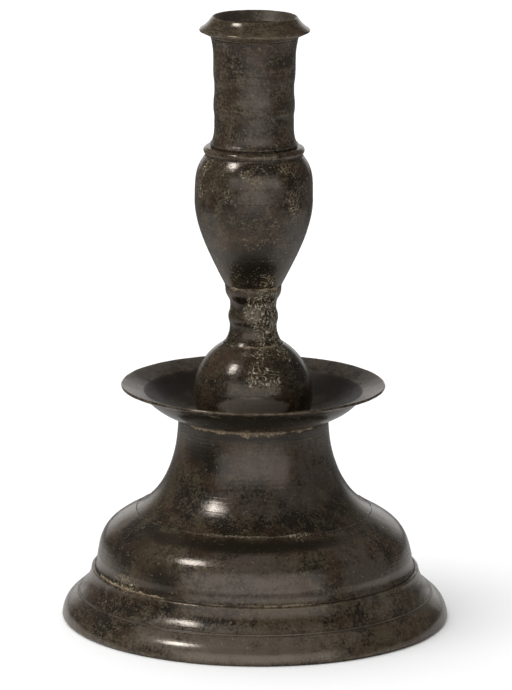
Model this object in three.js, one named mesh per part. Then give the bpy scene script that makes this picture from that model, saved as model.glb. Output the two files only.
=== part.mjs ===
// A bell-footed candlestick: hollow turned castings of pewter, soldered end on end.
// Millimetres, +Z up. The origin is on the table, in the middle of the foot.
// A turned piece is drawn as a half section of (radius, height), walked once round the metal,
// up the outside and down the inside. Each piece's own height zero is the face it stands on.

import * as THREE from 'three';

// Division of the round shapes
const FACETS = 32;
const CURVE_STEPS = 4;

// Joints: each casting has a short spigot that drops into the opening of the one below,
// and a film of solder lies between their flat faces
const SOLDER_FILM = 0.3;
const SOLDER_BEAD = 0.25;
const FIT_CLEARANCE = 0.1;
const SPIGOT_DEPTH = 1.6;
const SPIGOT_WALL = 0.9;
const SEAT_THICKNESS = 1.8;

// Foot ring: an ovolo, a fine fillet, a cavetto and the ledge that the bell stands on
const LEDGE_WIDTH = 1.4;
const FOOT_EDGE_HEIGHT = 1.0;
const FOOT_EDGE_ROLL = 0.8;
const OVOLO_WIDTH = 6.25;
const OVOLO_HEIGHT = 9.1;
const OVOLO_LEAN = 0.6;
const OVOLO_RISE = 6.2;
const FILLET_HEIGHT = 0.6;
const FILLET_STEP = 0.4;
const CAVETTO_WIDTH = 4.8;
const CAVETTO_HEIGHT = 8.7;
const CAVETTO_HOLLOW = 0.9;
const CAVETTO_RISE = 3.3;
const LEDGE_EDGE = 0.3;
const FOOT_WALL = 3.0;
const FOOT_SEAT_THICKNESS = 2.2;

// Bell: upright at its foot, with a full shoulder that rolls in to the neck
const BELL_FOOT_RADIUS = 61.8;
const BELL_FOOT_FLARE = 1.0;
const BELL_FLARE_HEIGHT = 4.3;
const BELL_FLARE_CURVE = 1.7;
const BELL_TOP_RADIUS = 45.5;
const BELL_HEIGHT = 22.3;
const BELL_SIDE_LEAN = 1.7;
const BELL_SIDE_RISE = 8.9;
const BELL_SHOULDER_REACH = 12.4;
const BELL_SHOULDER_DROP = 5.4;
const BELL_WALL = 2.2;
const BELL_SEAT_WIDTH = 3.5;
const BELL_FOOT_SEAT_WIDTH = 2.4;

// Neck: a long hollow curve from the bell up to the drip pan
const NECK_TOP_RADIUS = 29.0;
const NECK_HEIGHT = 36.1;
const NECK_SWEEP_REACH = 11.5;
const NECK_SWEEP_RISE = 6.6;
const NECK_UPRIGHT = 15.0;
const NECK_WALL = 2.0;

// Drip pan: a deep well with a narrow sloping flange
const PAN_RADIUS = 50.7;
const PAN_HEIGHT = 13.0;
const PAN_RIM_THICKNESS = 1.0;
const PAN_RIM_ROUNDING = 0.4;
const PAN_FLANGE_WIDTH = 8.6;
const PAN_FLANGE_RISE = 2.7;
const PAN_FLANGE_THICKNESS = 1.5;
const PAN_FLOOR_THICKNESS = 1.7;
const PAN_SEAT_WIDTH = 2.4;
const PAN_FLOOR_MARGIN = 1.5;
const PAN_WELL_SLOPE = 6.6;
const PAN_WELL_DROP = 2.0;
const PAN_UNDERSIDE_SLOPE = 4.2;
const PAN_UNDERSIDE_DROP = 2.9;

// Dome: most of a ball, which stands in the pan's well
const DOME_RADIUS = 22.9;
const DOME_CENTRE_HEIGHT = 7.3;
const DOME_LEDGE = 0.7;
const DOME_WALL = 2.3;
const DOME_CROWN_EXTRA = 1.0;
const DOME_BORE_RADIUS = 18.5;

// Waist knop: two hollows with a bead between them
const WAIST_FOOT_RADIUS = 11.2;
const WAIST_LOWER_RADIUS = 9.0;
const WAIST_BEAD_RADIUS = 9.5;
const WAIST_UPPER_RADIUS = 8.7;
const WAIST_TOP_RADIUS = 10.75;
const WAIST_FOOT_HEIGHT = 6.6;
const WAIST_BEAD_RISE = 3.5;
const WAIST_BEAD_FALL = 4.5;
const WAIST_TOP_RISE = 6.8;
const WAIST_BAND_HEIGHT = 0.8;
const WAIST_FOOT_CURVE = 3.1;
const WAIST_SPIGOT_RADIUS = 7.9;
const WAIST_BORE_RADIUS = 6.2;

// Baluster: a vase cast as two halves that meet at the belly
const BELLY_RADIUS = 22.6;
const LOWER_BALUSTER_HEIGHT = 35.0;
const LOWER_BALUSTER_SPREAD = 4.4;
const LOWER_BALUSTER_RISE = 8.9;
const LOWER_BALUSTER_UPRIGHT = 12.0;
const LOWER_BALUSTER_FULLNESS = 0.75;
const LOWER_BALUSTER_FLOOR = 2.6;
const UPPER_BALUSTER_UPRIGHT = 7.7;
const UPPER_BALUSTER_HEIGHT = 14.9;
const SHOULDER_REACH = 3.3;
const SHOULDER_DROP = 4.7;
const SHOULDER_INSET = 3.7;
const BALUSTER_WALL = 2.3;
const BELLY_SEAT_WIDTH = 2.5;

// Rings between the baluster and the socket
const LOWER_RING_RADIUS = 19.35;
const LOWER_RING_ROUNDING = 1.45;
const RING_GROOVE_DEPTH = 0.3;
const RING_GROOVE_HEIGHT = 0.7;
const RING_SHOULDER = 0.5;
const UPPER_RING_RADIUS = 16.9;
const UPPER_RING_HEIGHT = 0.7;
const RING_PLATE_THICKNESS = 2.6;

// Socket: a straight bore in a tube with two faint bands and flared ends
const CANDLE_BORE_RADIUS = 13.0;
const TUBE_RADIUS = 15.2;
const TUBE_HEIGHT = 41.3;
const TUBE_TOP_FLARE = 0.9;
const TUBE_TOP_FLARE_HEIGHT = 6.5;
const TUBE_FOOT_FLARE_HEIGHT = 7.0;
const TUBE_FOOT_FLARE_CURVE = 0.9;
const LOWER_BAND_PROUD = 0.35;
const LOWER_BAND_START = 11.0;
const LOWER_BAND_PEAK = 14.6;
const LOWER_BAND_END = 22.0;
const UPPER_BAND_PROUD = 0.5;
const UPPER_BAND_RISE = 7.2;
const SEAT_LEDGE_WIDTH = 2.0;
const SEAT_LEDGE_HEIGHT = 2.2;
const SEAT_PLATE_THICKNESS = 1.8;

// Lip: a sharp flange round a funnel mouth
const LIP_RADIUS = 20.95;
const LIP_HEIGHT = 7.8;
const LIP_EDGE_HEIGHT = 2.6;
const LIP_EDGE_ROUNDING = 0.6;
const LIP_UNDERCUT = 0.4;
const CREST_RADIUS = 15.9;
const CREST_ROUNDING = 0.5;
const LIP_HOLLOW_WIDTH = 2.4;
const LIP_HOLLOW_DROP = 2.2;
const MOUTH_FUNNEL_DEPTH = 3.8;
const LIP_SOCKET_DEPTH = 2.0;

// Sizes that follow from the ones above
const LEDGE_RADIUS = BELL_FOOT_RADIUS + LEDGE_WIDTH;
const FILLET_RADIUS = LEDGE_RADIUS + CAVETTO_WIDTH;
const FOOT_RADIUS = FILLET_RADIUS + FILLET_STEP + OVOLO_WIDTH;
const FOOT_HEIGHT = FOOT_EDGE_HEIGHT + OVOLO_HEIGHT + FILLET_HEIGHT + CAVETTO_HEIGHT + LEDGE_EDGE;
const FOOT_OPENING = BELL_FOOT_RADIUS - BELL_FOOT_SEAT_WIDTH;
const BELL_OPENING = BELL_TOP_RADIUS - BELL_SEAT_WIDTH;
const NECK_OPENING = NECK_TOP_RADIUS - PAN_SEAT_WIDTH;
const PAN_HOLE_RADIUS = DOME_BORE_RADIUS + SPIGOT_WALL + FIT_CLEARANCE;
const DOME_TOP_RADIUS = WAIST_FOOT_RADIUS + DOME_LEDGE;
const DOME_HEIGHT = DOME_CENTRE_HEIGHT + Math.sqrt(DOME_RADIUS ** 2 - DOME_TOP_RADIUS ** 2);
const DOME_OPENING = WAIST_SPIGOT_RADIUS + FIT_CLEARANCE;
const DOME_FOOT_RADIUS = Math.sqrt(DOME_RADIUS ** 2 - DOME_CENTRE_HEIGHT ** 2);
const WAIST_HEIGHT =
  WAIST_FOOT_HEIGHT + WAIST_BEAD_RISE + WAIST_BEAD_FALL + WAIST_TOP_RISE + WAIST_BAND_HEIGHT;
const BALUSTER_BORE_RADIUS = WAIST_BORE_RADIUS - FIT_CLEARANCE - SPIGOT_WALL;
const BELLY_OPENING = BELLY_RADIUS - BELLY_SEAT_WIDTH;
const LOWER_RING_MIDDLE = UPPER_BALUSTER_HEIGHT + RING_GROOVE_HEIGHT + LOWER_RING_ROUNDING;
const RING_SEAT_HEIGHT = LOWER_RING_MIDDLE + LOWER_RING_ROUNDING + RING_SHOULDER - SOLDER_FILM;
const TUBE_FOOT_BORE = CANDLE_BORE_RADIUS - SEAT_LEDGE_WIDTH;
const RING_OPENING = TUBE_FOOT_BORE + SPIGOT_WALL + FIT_CLEARANCE;
const LIP_SPIGOT_RADIUS = CANDLE_BORE_RADIUS + SPIGOT_WALL;
const UPPER_BAND_RADIUS = TUBE_RADIUS + UPPER_BAND_PROUD;
const TUBE_TOP_RADIUS = UPPER_BAND_RADIUS + TUBE_TOP_FLARE;

// Pewter under its dark brown skin, and the paler solder in the joints
const pewter = new THREE.MeshStandardMaterial({ color: 0x3d362d, roughness: 0.42, metalness: 0.8 });
const solder = new THREE.MeshStandardMaterial({ color: 0x857a62, roughness: 0.65, metalness: 0.6 });

/** The closed half section of a turned piece. */
class Section {
  constructor(radius, height) {
    this.points = [new THREE.Vector2(radius, height)];
  }

  /** A straight stretch to a new radius and height. */
  to(radius, height) {
    this.points.push(new THREE.Vector2(radius, height));
    return this;
  }

  /** A curve that starts where the section has come to. */
  along(curve, steps = CURVE_STEPS) {
    this.points.push(...curve.getPoints(steps).slice(1));
    return this;
  }

  /** A moulding that leaves and arrives upright. */
  ogee(radius, height, steps = CURVE_STEPS) {
    const start = this.points.at(-1);
    const middle = (start.y + height) / 2;
    return this.along(bend([start.x, start.y], [start.x, middle], [radius, middle], [radius, height]), steps);
  }

  /** The inside of a wall, walked back along its outside curve as far as it lies between two heights. */
  lining(curve, wall, highest, lowest, steps = CURVE_STEPS) {
    for (let step = steps; step >= 0; step -= 1) {
      const outside = curve.getPoint(step / steps);
      const slope = curve.getTangent(step / steps);
      const height = outside.y + wall * slope.x;
      if (height <= highest && height >= lowest) this.to(outside.x - wall * slope.y, height);
    }
    return this;
  }

  /** The solid that the section makes when it is turned round the Z axis. */
  turned() {
    const outline = [...this.points, this.points[0].clone()];
    return new THREE.LatheGeometry(outline, FACETS).rotateX(Math.PI / 2);
  }
}

/** A curve with two control points, all given as [radius, height]. */
function bend(start, first, second, end) {
  return new THREE.CubicBezierCurve(
    new THREE.Vector2(...start),
    new THREE.Vector2(...first),
    new THREE.Vector2(...second),
    new THREE.Vector2(...end),
  );
}

/** A curve with one control point. */
function sweep(start, control, end) {
  return new THREE.QuadraticBezierCurve(
    new THREE.Vector2(...start),
    new THREE.Vector2(...control),
    new THREE.Vector2(...end),
  );
}

/** An arc round a centre, between two angles above the horizontal. */
function arc(radius, height, rounding, from, until) {
  return new THREE.EllipseCurve(radius, height, rounding, rounding, from, until, until < from);
}

function footRing() {
  const edge = [FOOT_RADIUS, FOOT_EDGE_HEIGHT];
  const ovoloTop = FOOT_EDGE_HEIGHT + OVOLO_HEIGHT;
  const ovolo = sweep(
    edge,
    [FOOT_RADIUS - OVOLO_LEAN, FOOT_EDGE_HEIGHT + OVOLO_RISE],
    [FILLET_RADIUS + FILLET_STEP, ovoloTop],
  );
  const cavettoFoot = ovoloTop + FILLET_HEIGHT;
  const cavetto = sweep(
    [FILLET_RADIUS, cavettoFoot],
    [LEDGE_RADIUS + CAVETTO_HOLLOW, cavettoFoot + CAVETTO_RISE],
    [LEDGE_RADIUS, FOOT_HEIGHT - LEDGE_EDGE],
  );
  const rimInside = FOOT_RADIUS - FOOT_WALL;
  return new Section(rimInside, 0)
    .to(FOOT_RADIUS - FOOT_EDGE_ROLL, 0)
    .to(...edge)
    .along(ovolo)
    .to(FILLET_RADIUS + FILLET_STEP, cavettoFoot)
    .to(FILLET_RADIUS, cavettoFoot)
    .along(cavetto)
    .to(LEDGE_RADIUS - LEDGE_EDGE, FOOT_HEIGHT)
    .to(FOOT_OPENING, FOOT_HEIGHT)
    .to(FOOT_OPENING, FOOT_HEIGHT - FOOT_SEAT_THICKNESS)
    .lining(cavetto, FOOT_WALL, FOOT_HEIGHT - FOOT_SEAT_THICKNESS, 0)
    .lining(ovolo, FOOT_WALL, ovoloTop, 0, 3);
}

function bellBody() {
  const side = [BELL_FOOT_RADIUS - BELL_FOOT_FLARE, BELL_FLARE_HEIGHT];
  const shoulder = bend(
    side,
    [side[0] - BELL_SIDE_LEAN, side[1] + BELL_SIDE_RISE],
    [BELL_TOP_RADIUS + BELL_SHOULDER_REACH, BELL_HEIGHT - BELL_SHOULDER_DROP],
    [BELL_TOP_RADIUS, BELL_HEIGHT],
  );
  const spigotOutside = FOOT_OPENING - FIT_CLEARANCE;
  const spigotInside = spigotOutside - SPIGOT_WALL;
  return new Section(spigotInside, -SPIGOT_DEPTH)
    .to(spigotOutside, -SPIGOT_DEPTH)
    .to(spigotOutside, 0)
    .to(BELL_FOOT_RADIUS, 0)
    .along(sweep([BELL_FOOT_RADIUS, 0], [side[0], BELL_FLARE_CURVE], side), 2)
    .along(shoulder, CURVE_STEPS + 3)
    .to(BELL_OPENING, BELL_HEIGHT)
    .to(BELL_OPENING, BELL_HEIGHT - SEAT_THICKNESS)
    .lining(shoulder, BELL_WALL, BELL_HEIGHT - SEAT_THICKNESS, SEAT_THICKNESS, CURVE_STEPS + 2);
}

function bellNeck() {
  const flank = bend(
    [BELL_TOP_RADIUS, 0],
    [BELL_TOP_RADIUS - NECK_SWEEP_REACH, NECK_SWEEP_RISE],
    [NECK_TOP_RADIUS, NECK_HEIGHT - NECK_UPRIGHT],
    [NECK_TOP_RADIUS, NECK_HEIGHT],
  );
  const spigotOutside = BELL_OPENING - FIT_CLEARANCE;
  const spigotInside = spigotOutside - SPIGOT_WALL;
  return new Section(spigotInside, -SPIGOT_DEPTH)
    .to(spigotOutside, -SPIGOT_DEPTH)
    .to(spigotOutside, 0)
    .to(BELL_TOP_RADIUS, 0)
    .along(flank, CURVE_STEPS + 2)
    .to(NECK_OPENING, NECK_HEIGHT)
    .to(NECK_OPENING, NECK_HEIGHT - SEAT_THICKNESS)
    .lining(flank, NECK_WALL, NECK_HEIGHT - SEAT_THICKNESS, 0, CURVE_STEPS + 2);
}

function dripPan() {
  const flangeInside = PAN_RADIUS - PAN_FLANGE_WIDTH;
  const wellTop = PAN_HEIGHT - PAN_FLANGE_RISE;
  const rimFoot = PAN_HEIGHT - PAN_RIM_THICKNESS;
  const bowlTop = [flangeInside, wellTop - PAN_FLANGE_THICKNESS];
  const underside = sweep(
    [NECK_TOP_RADIUS, 0],
    [flangeInside - PAN_UNDERSIDE_SLOPE, PAN_UNDERSIDE_DROP],
    bowlTop,
  );
  const floorRadius = NECK_TOP_RADIUS - PAN_FLOOR_MARGIN;
  const well = sweep(
    [flangeInside, wellTop],
    [flangeInside - PAN_WELL_SLOPE, PAN_FLOOR_THICKNESS + PAN_WELL_DROP],
    [floorRadius, PAN_FLOOR_THICKNESS],
  );
  const spigotOutside = NECK_OPENING - FIT_CLEARANCE;
  const spigotInside = spigotOutside - SPIGOT_WALL;
  return new Section(spigotInside, -SPIGOT_DEPTH)
    .to(spigotOutside, -SPIGOT_DEPTH)
    .to(spigotOutside, 0)
    .to(NECK_TOP_RADIUS, 0)
    .along(underside)
    .to(PAN_RADIUS, rimFoot)
    .to(PAN_RADIUS, PAN_HEIGHT - PAN_RIM_ROUNDING)
    .to(PAN_RADIUS - PAN_RIM_ROUNDING, PAN_HEIGHT)
    .to(flangeInside, wellTop)
    .along(well)
    .to(PAN_HOLE_RADIUS, PAN_FLOOR_THICKNESS)
    .to(PAN_HOLE_RADIUS, 0)
    .to(spigotInside, 0);
}

function domeKnop() {
  const footAngle = -Math.asin(DOME_CENTRE_HEIGHT / DOME_RADIUS);
  const topAngle = Math.acos(DOME_TOP_RADIUS / DOME_RADIUS);
  const inside = DOME_RADIUS - DOME_WALL;
  const insideCentre = DOME_CENTRE_HEIGHT - DOME_CROWN_EXTRA;
  const outer = arc(0, DOME_CENTRE_HEIGHT, DOME_RADIUS, footAngle, topAngle);
  const inner = arc(0, insideCentre, inside, Math.acos(DOME_OPENING / inside), 0);
  const ceiling = inner.getPoint(0);
  return new Section(DOME_BORE_RADIUS, -SPIGOT_DEPTH)
    .to(DOME_BORE_RADIUS + SPIGOT_WALL, -SPIGOT_DEPTH)
    .to(DOME_BORE_RADIUS + SPIGOT_WALL, 0)
    .to(DOME_FOOT_RADIUS, 0)
    .along(outer, CURVE_STEPS + 3)
    .to(DOME_OPENING, DOME_HEIGHT)
    .to(ceiling.x, ceiling.y)
    .along(inner, CURVE_STEPS)
    .to(DOME_BORE_RADIUS, 0);
}

function waistKnop() {
  const beadHeight = WAIST_FOOT_HEIGHT + WAIST_BEAD_RISE;
  const upperHollow = beadHeight + WAIST_BEAD_FALL;
  const footCurve = sweep(
    [WAIST_FOOT_RADIUS, 0],
    [WAIST_LOWER_RADIUS, WAIST_FOOT_CURVE],
    [WAIST_LOWER_RADIUS, WAIST_FOOT_HEIGHT],
  );
  return new Section(WAIST_BORE_RADIUS, -SPIGOT_DEPTH)
    .to(WAIST_SPIGOT_RADIUS, -SPIGOT_DEPTH)
    .to(WAIST_SPIGOT_RADIUS, 0)
    .to(WAIST_FOOT_RADIUS, 0)
    .along(footCurve)
    .ogee(WAIST_BEAD_RADIUS, beadHeight, 3)
    .ogee(WAIST_UPPER_RADIUS, upperHollow, 3)
    .ogee(WAIST_TOP_RADIUS, WAIST_HEIGHT - WAIST_BAND_HEIGHT)
    .to(WAIST_TOP_RADIUS, WAIST_HEIGHT)
    .to(WAIST_BORE_RADIUS, WAIST_HEIGHT);
}

function lowerBaluster() {
  const flank = bend(
    [WAIST_TOP_RADIUS, 0],
    [WAIST_TOP_RADIUS + LOWER_BALUSTER_SPREAD, LOWER_BALUSTER_RISE],
    [BELLY_RADIUS + LOWER_BALUSTER_FULLNESS, LOWER_BALUSTER_HEIGHT - LOWER_BALUSTER_UPRIGHT],
    [BELLY_RADIUS, LOWER_BALUSTER_HEIGHT],
  );
  return new Section(BALUSTER_BORE_RADIUS, -SPIGOT_DEPTH)
    .to(BALUSTER_BORE_RADIUS + SPIGOT_WALL, -SPIGOT_DEPTH)
    .to(BALUSTER_BORE_RADIUS + SPIGOT_WALL, 0)
    .to(WAIST_TOP_RADIUS, 0)
    .along(flank, CURVE_STEPS + 2)
    .to(BELLY_OPENING, LOWER_BALUSTER_HEIGHT)
    .to(BELLY_OPENING, LOWER_BALUSTER_HEIGHT - SEAT_THICKNESS)
    .lining(flank, BALUSTER_WALL, LOWER_BALUSTER_HEIGHT - SEAT_THICKNESS, LOWER_BALUSTER_FLOOR, CURVE_STEPS + 1)
    .to(BALUSTER_BORE_RADIUS, LOWER_BALUSTER_FLOOR);
}

function upperBaluster() {
  const shoulderTop = [BELLY_RADIUS - SHOULDER_INSET, UPPER_BALUSTER_HEIGHT];
  const flank = bend(
    [BELLY_RADIUS, 0],
    [BELLY_RADIUS, UPPER_BALUSTER_UPRIGHT],
    [shoulderTop[0] + SHOULDER_REACH, UPPER_BALUSTER_HEIGHT - SHOULDER_DROP],
    shoulderTop,
  );
  const ring = arc(
    LOWER_RING_RADIUS - LOWER_RING_ROUNDING,
    LOWER_RING_MIDDLE,
    LOWER_RING_ROUNDING,
    -Math.PI / 3,
    Math.PI / 2,
  );
  const ringFoot = ring.getPoint(0);
  const grooveRadius = shoulderTop[0] - RING_GROOVE_DEPTH;
  const spigotOutside = BELLY_OPENING - FIT_CLEARANCE;
  const spigotInside = spigotOutside - SPIGOT_WALL;
  return new Section(spigotInside, -SPIGOT_DEPTH)
    .to(spigotOutside, -SPIGOT_DEPTH)
    .to(spigotOutside, 0)
    .to(BELLY_RADIUS, 0)
    .along(flank)
    .to(grooveRadius, UPPER_BALUSTER_HEIGHT + RING_GROOVE_HEIGHT / 2)
    .to(ringFoot.x, ringFoot.y)
    .along(ring)
    .to(UPPER_RING_RADIUS - RING_SHOULDER, RING_SEAT_HEIGHT)
    .to(RING_OPENING, RING_SEAT_HEIGHT)
    .to(RING_OPENING, RING_SEAT_HEIGHT - RING_PLATE_THICKNESS)
    .lining(flank, BALUSTER_WALL, RING_SEAT_HEIGHT - RING_PLATE_THICKNESS, SEAT_THICKNESS);
}

function socketTube() {
  const footFlare = sweep(
    [UPPER_RING_RADIUS, UPPER_RING_HEIGHT],
    [TUBE_RADIUS, UPPER_RING_HEIGHT + TUBE_FOOT_FLARE_CURVE],
    [TUBE_RADIUS, UPPER_RING_HEIGHT + TUBE_FOOT_FLARE_HEIGHT],
  );
  const topFlareFoot = TUBE_HEIGHT - TUBE_TOP_FLARE_HEIGHT;
  const topFlare = sweep(
    [UPPER_BAND_RADIUS, topFlareFoot],
    [UPPER_BAND_RADIUS, topFlareFoot + TUBE_TOP_FLARE_HEIGHT / 3],
    [TUBE_TOP_RADIUS, TUBE_HEIGHT],
  );
  const spigotTop = TUBE_HEIGHT + SPIGOT_DEPTH;
  return new Section(TUBE_FOOT_BORE, -SPIGOT_DEPTH)
    .to(TUBE_FOOT_BORE + SPIGOT_WALL, -SPIGOT_DEPTH)
    .to(TUBE_FOOT_BORE + SPIGOT_WALL, 0)
    .to(UPPER_RING_RADIUS - RING_SHOULDER, 0)
    .to(UPPER_RING_RADIUS, UPPER_RING_HEIGHT / 2)
    .to(UPPER_RING_RADIUS, UPPER_RING_HEIGHT)
    .along(footFlare)
    .to(TUBE_RADIUS, LOWER_BAND_START)
    .ogee(TUBE_RADIUS + LOWER_BAND_PROUD, LOWER_BAND_PEAK, 2)
    .ogee(TUBE_RADIUS, LOWER_BAND_END, 2)
    .ogee(UPPER_BAND_RADIUS, LOWER_BAND_END + UPPER_BAND_RISE, 2)
    .to(UPPER_BAND_RADIUS, topFlareFoot)
    .along(topFlare, 2)
    .to(LIP_SPIGOT_RADIUS, TUBE_HEIGHT)
    .to(LIP_SPIGOT_RADIUS, spigotTop)
    .to(CANDLE_BORE_RADIUS, spigotTop)
    .to(CANDLE_BORE_RADIUS, SEAT_LEDGE_HEIGHT)
    .to(TUBE_FOOT_BORE, SEAT_LEDGE_HEIGHT);
}

function socketLip() {
  const hollowTop = [CREST_RADIUS + CREST_ROUNDING, LIP_HEIGHT - CREST_ROUNDING];
  const edge = arc(
    LIP_RADIUS - LIP_EDGE_ROUNDING,
    LIP_EDGE_HEIGHT,
    LIP_EDGE_ROUNDING,
    -Math.PI / 3,
    Math.PI / 3,
  );
  const edgeFoot = edge.getPoint(0);
  const edgeTop = edge.getPoint(1);
  const hollow = sweep(
    [edgeTop.x, edgeTop.y],
    [hollowTop[0] + LIP_HOLLOW_WIDTH / 2, hollowTop[1] - LIP_HOLLOW_DROP],
    hollowTop,
  );
  const socketRadius = LIP_SPIGOT_RADIUS + FIT_CLEARANCE;
  return new Section(socketRadius, 0)
    .to(TUBE_TOP_RADIUS, 0)
    .to(TUBE_TOP_RADIUS + LIP_UNDERCUT, LIP_UNDERCUT)
    .to(edgeFoot.x, edgeFoot.y)
    .along(edge, 3)
    .along(hollow, 3)
    .to(CREST_RADIUS, LIP_HEIGHT)
    .to(CREST_RADIUS - CREST_ROUNDING, LIP_HEIGHT - CREST_ROUNDING)
    .to(CANDLE_BORE_RADIUS, LIP_HEIGHT - MOUTH_FUNNEL_DEPTH)
    .to(CANDLE_BORE_RADIUS, LIP_SOCKET_DEPTH)
    .to(socketRadius, LIP_SOCKET_DEPTH);
}

/** The plate at the bottom of the socket, which the candle stands on. */
function candleSeat() {
  const radius = CANDLE_BORE_RADIUS - FIT_CLEARANCE;
  return new Section(0, 0)
    .to(radius, 0)
    .to(radius, SEAT_PLATE_THICKNESS)
    .to(0, SEAT_PLATE_THICKNESS);
}

/** A film of solder between two seats, with a bead where it has run out of the joint. */
function solderRing(inside, outside, bead = SOLDER_BEAD) {
  const ring = new Section(inside, 0).to(outside, 0);
  if (bead > 0) ring.to(outside + bead, SOLDER_FILM / 2);
  return ring.to(outside, SOLDER_FILM).to(inside, SOLDER_FILM);
}

const candlestick = new THREE.Group();

/** Stands a turned piece at a height and gives the height at which the next one stands. */
function stand(name, section, metal, level, rise) {
  const piece = new THREE.Mesh(section.turned(), metal);
  piece.name = name;
  piece.position.z = level;
  candlestick.add(piece);
  return level + rise;
}

/** Lays a film of solder at a height and gives the height of its top. */
function flow(name, level, inside, outside, bead) {
  return stand(`solder_${name}`, solderRing(inside, outside, bead), solder, level, SOLDER_FILM);
}

let level = 0;
level = stand('foot_ring', footRing(), pewter, level, FOOT_HEIGHT);
level = flow('foot_to_bell', level, FOOT_OPENING, BELL_FOOT_RADIUS);
level = stand('bell_body', bellBody(), pewter, level, BELL_HEIGHT);
level = flow('bell_to_neck', level, BELL_OPENING, BELL_TOP_RADIUS);
level = stand('bell_neck', bellNeck(), pewter, level, NECK_HEIGHT);
level = flow('neck_to_pan', level, NECK_OPENING, NECK_TOP_RADIUS);
level = stand('drip_pan', dripPan(), pewter, level, PAN_FLOOR_THICKNESS);
level = flow('pan_to_dome', level, PAN_HOLE_RADIUS, DOME_FOOT_RADIUS);
level = stand('dome_knop', domeKnop(), pewter, level, DOME_HEIGHT);
level = flow('dome_to_waist', level, DOME_OPENING, WAIST_FOOT_RADIUS);
level = stand('waist_knop', waistKnop(), pewter, level, WAIST_HEIGHT);
level = flow('waist_to_baluster', level, WAIST_BORE_RADIUS, WAIST_TOP_RADIUS);
level = stand('baluster_lower', lowerBaluster(), pewter, level, LOWER_BALUSTER_HEIGHT);
level = flow('baluster_halves', level, BELLY_OPENING, BELLY_RADIUS, 0);
level = stand('baluster_upper', upperBaluster(), pewter, level, RING_SEAT_HEIGHT);
level = flow('baluster_to_socket', level, RING_OPENING, UPPER_RING_RADIUS - RING_SHOULDER, 0);
const ledgeLevel = stand('socket_tube', socketTube(), pewter, level, SEAT_LEDGE_HEIGHT);
const seatLevel = flow('candle_seat', ledgeLevel, TUBE_FOOT_BORE, CANDLE_BORE_RADIUS - FIT_CLEARANCE, 0);
stand('candle_seat', candleSeat(), pewter, seatLevel, SEAT_PLATE_THICKNESS);
level = flow('socket_to_lip', level + TUBE_HEIGHT, LIP_SPIGOT_RADIUS + FIT_CLEARANCE, TUBE_TOP_RADIUS, 0);
stand('socket_lip', socketLip(), pewter, level, LIP_HEIGHT);

export default candlestick;
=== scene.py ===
"""A bell-footed candlestick of old dark pewter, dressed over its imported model.

Each casting is turned from a half section, as the real one was, and then it ages: the stem settles
a little to one side, the surface wanders by tenths of a millimetre, edges are eased, and crust
grows where the old skin has broken. Metres, +Z up, the origin in the middle of the foot.
"""

import logging
import math
from collections.abc import Sequence
from dataclasses import dataclass, field
from enum import Enum

import bmesh
import bpy
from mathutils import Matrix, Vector, noise


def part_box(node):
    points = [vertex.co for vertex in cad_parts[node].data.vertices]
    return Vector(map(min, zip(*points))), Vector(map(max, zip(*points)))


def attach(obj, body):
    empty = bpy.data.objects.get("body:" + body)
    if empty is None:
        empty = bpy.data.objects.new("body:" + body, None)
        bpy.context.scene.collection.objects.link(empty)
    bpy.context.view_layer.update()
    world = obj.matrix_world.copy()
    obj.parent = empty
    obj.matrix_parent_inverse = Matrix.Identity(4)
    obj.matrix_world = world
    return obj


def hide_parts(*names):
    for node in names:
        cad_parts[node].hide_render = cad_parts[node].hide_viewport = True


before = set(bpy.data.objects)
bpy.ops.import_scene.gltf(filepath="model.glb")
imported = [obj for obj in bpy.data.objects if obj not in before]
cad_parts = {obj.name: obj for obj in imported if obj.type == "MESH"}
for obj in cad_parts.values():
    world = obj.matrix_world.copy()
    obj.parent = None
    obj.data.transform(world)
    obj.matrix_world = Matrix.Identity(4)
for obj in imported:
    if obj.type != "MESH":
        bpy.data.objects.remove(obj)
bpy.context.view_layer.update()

MM = 0.001
FELT = ("edge", "nook", "inside", "crust", "stain_and_shade", "haze_and_sheen")
WANDER_SEED = 7
log = logging.getLogger("candlestick")

Point = tuple[float, float]
Colour = tuple[float, float, float, float]
Wire = bpy.types.NodeSocket

BLACK: Colour = (0.0, 0.0, 0.0, 1.0)
SAME = 1e-7
FILM_OVERHANG = 0.25 * MM


class Slot(Enum):
    """The record's material slots."""

    PEWTER = "pewter"
    SOLDER = "solder"


class SeamLook(Enum):
    """How a soldered joint shows from outside."""

    HIDDEN = "hidden"
    BURNISHED = "burnished"
    SOLDERED = "soldered"


class Change(Enum):
    """What a patch of the skin carries: crust, stains with painted shade, or a pale film with painted sheen, named as
    the attribute that carries it.
    """

    CRUST = "crust"
    STAIN_AND_SHADE = "stain_and_shade"
    HAZE_AND_SHEEN = "haze_and_sheen"


@dataclass(frozen=True)
class Bloom:
    """A patch where crust has grown through the skin, or where the skin is darker or paler, as stains and a pale film
    and as painted shade and painted sheen.

    Args:
        bearing: Degrees to the right of the front, seen from the front.
        height: Height of its middle above the table.
        spread: Distance from its middle at which it has faded out.
        strength: Share of it that is covered, at its middle.
        change: What is there: crust, stains and painted shade, or a pale film and painted sheen.
        stretch: How many times wider than tall it is.
    """

    bearing: float
    height: float
    spread: float
    strength: float = 1.0
    change: Change = Change.CRUST
    stretch: float = 1.0


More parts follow.
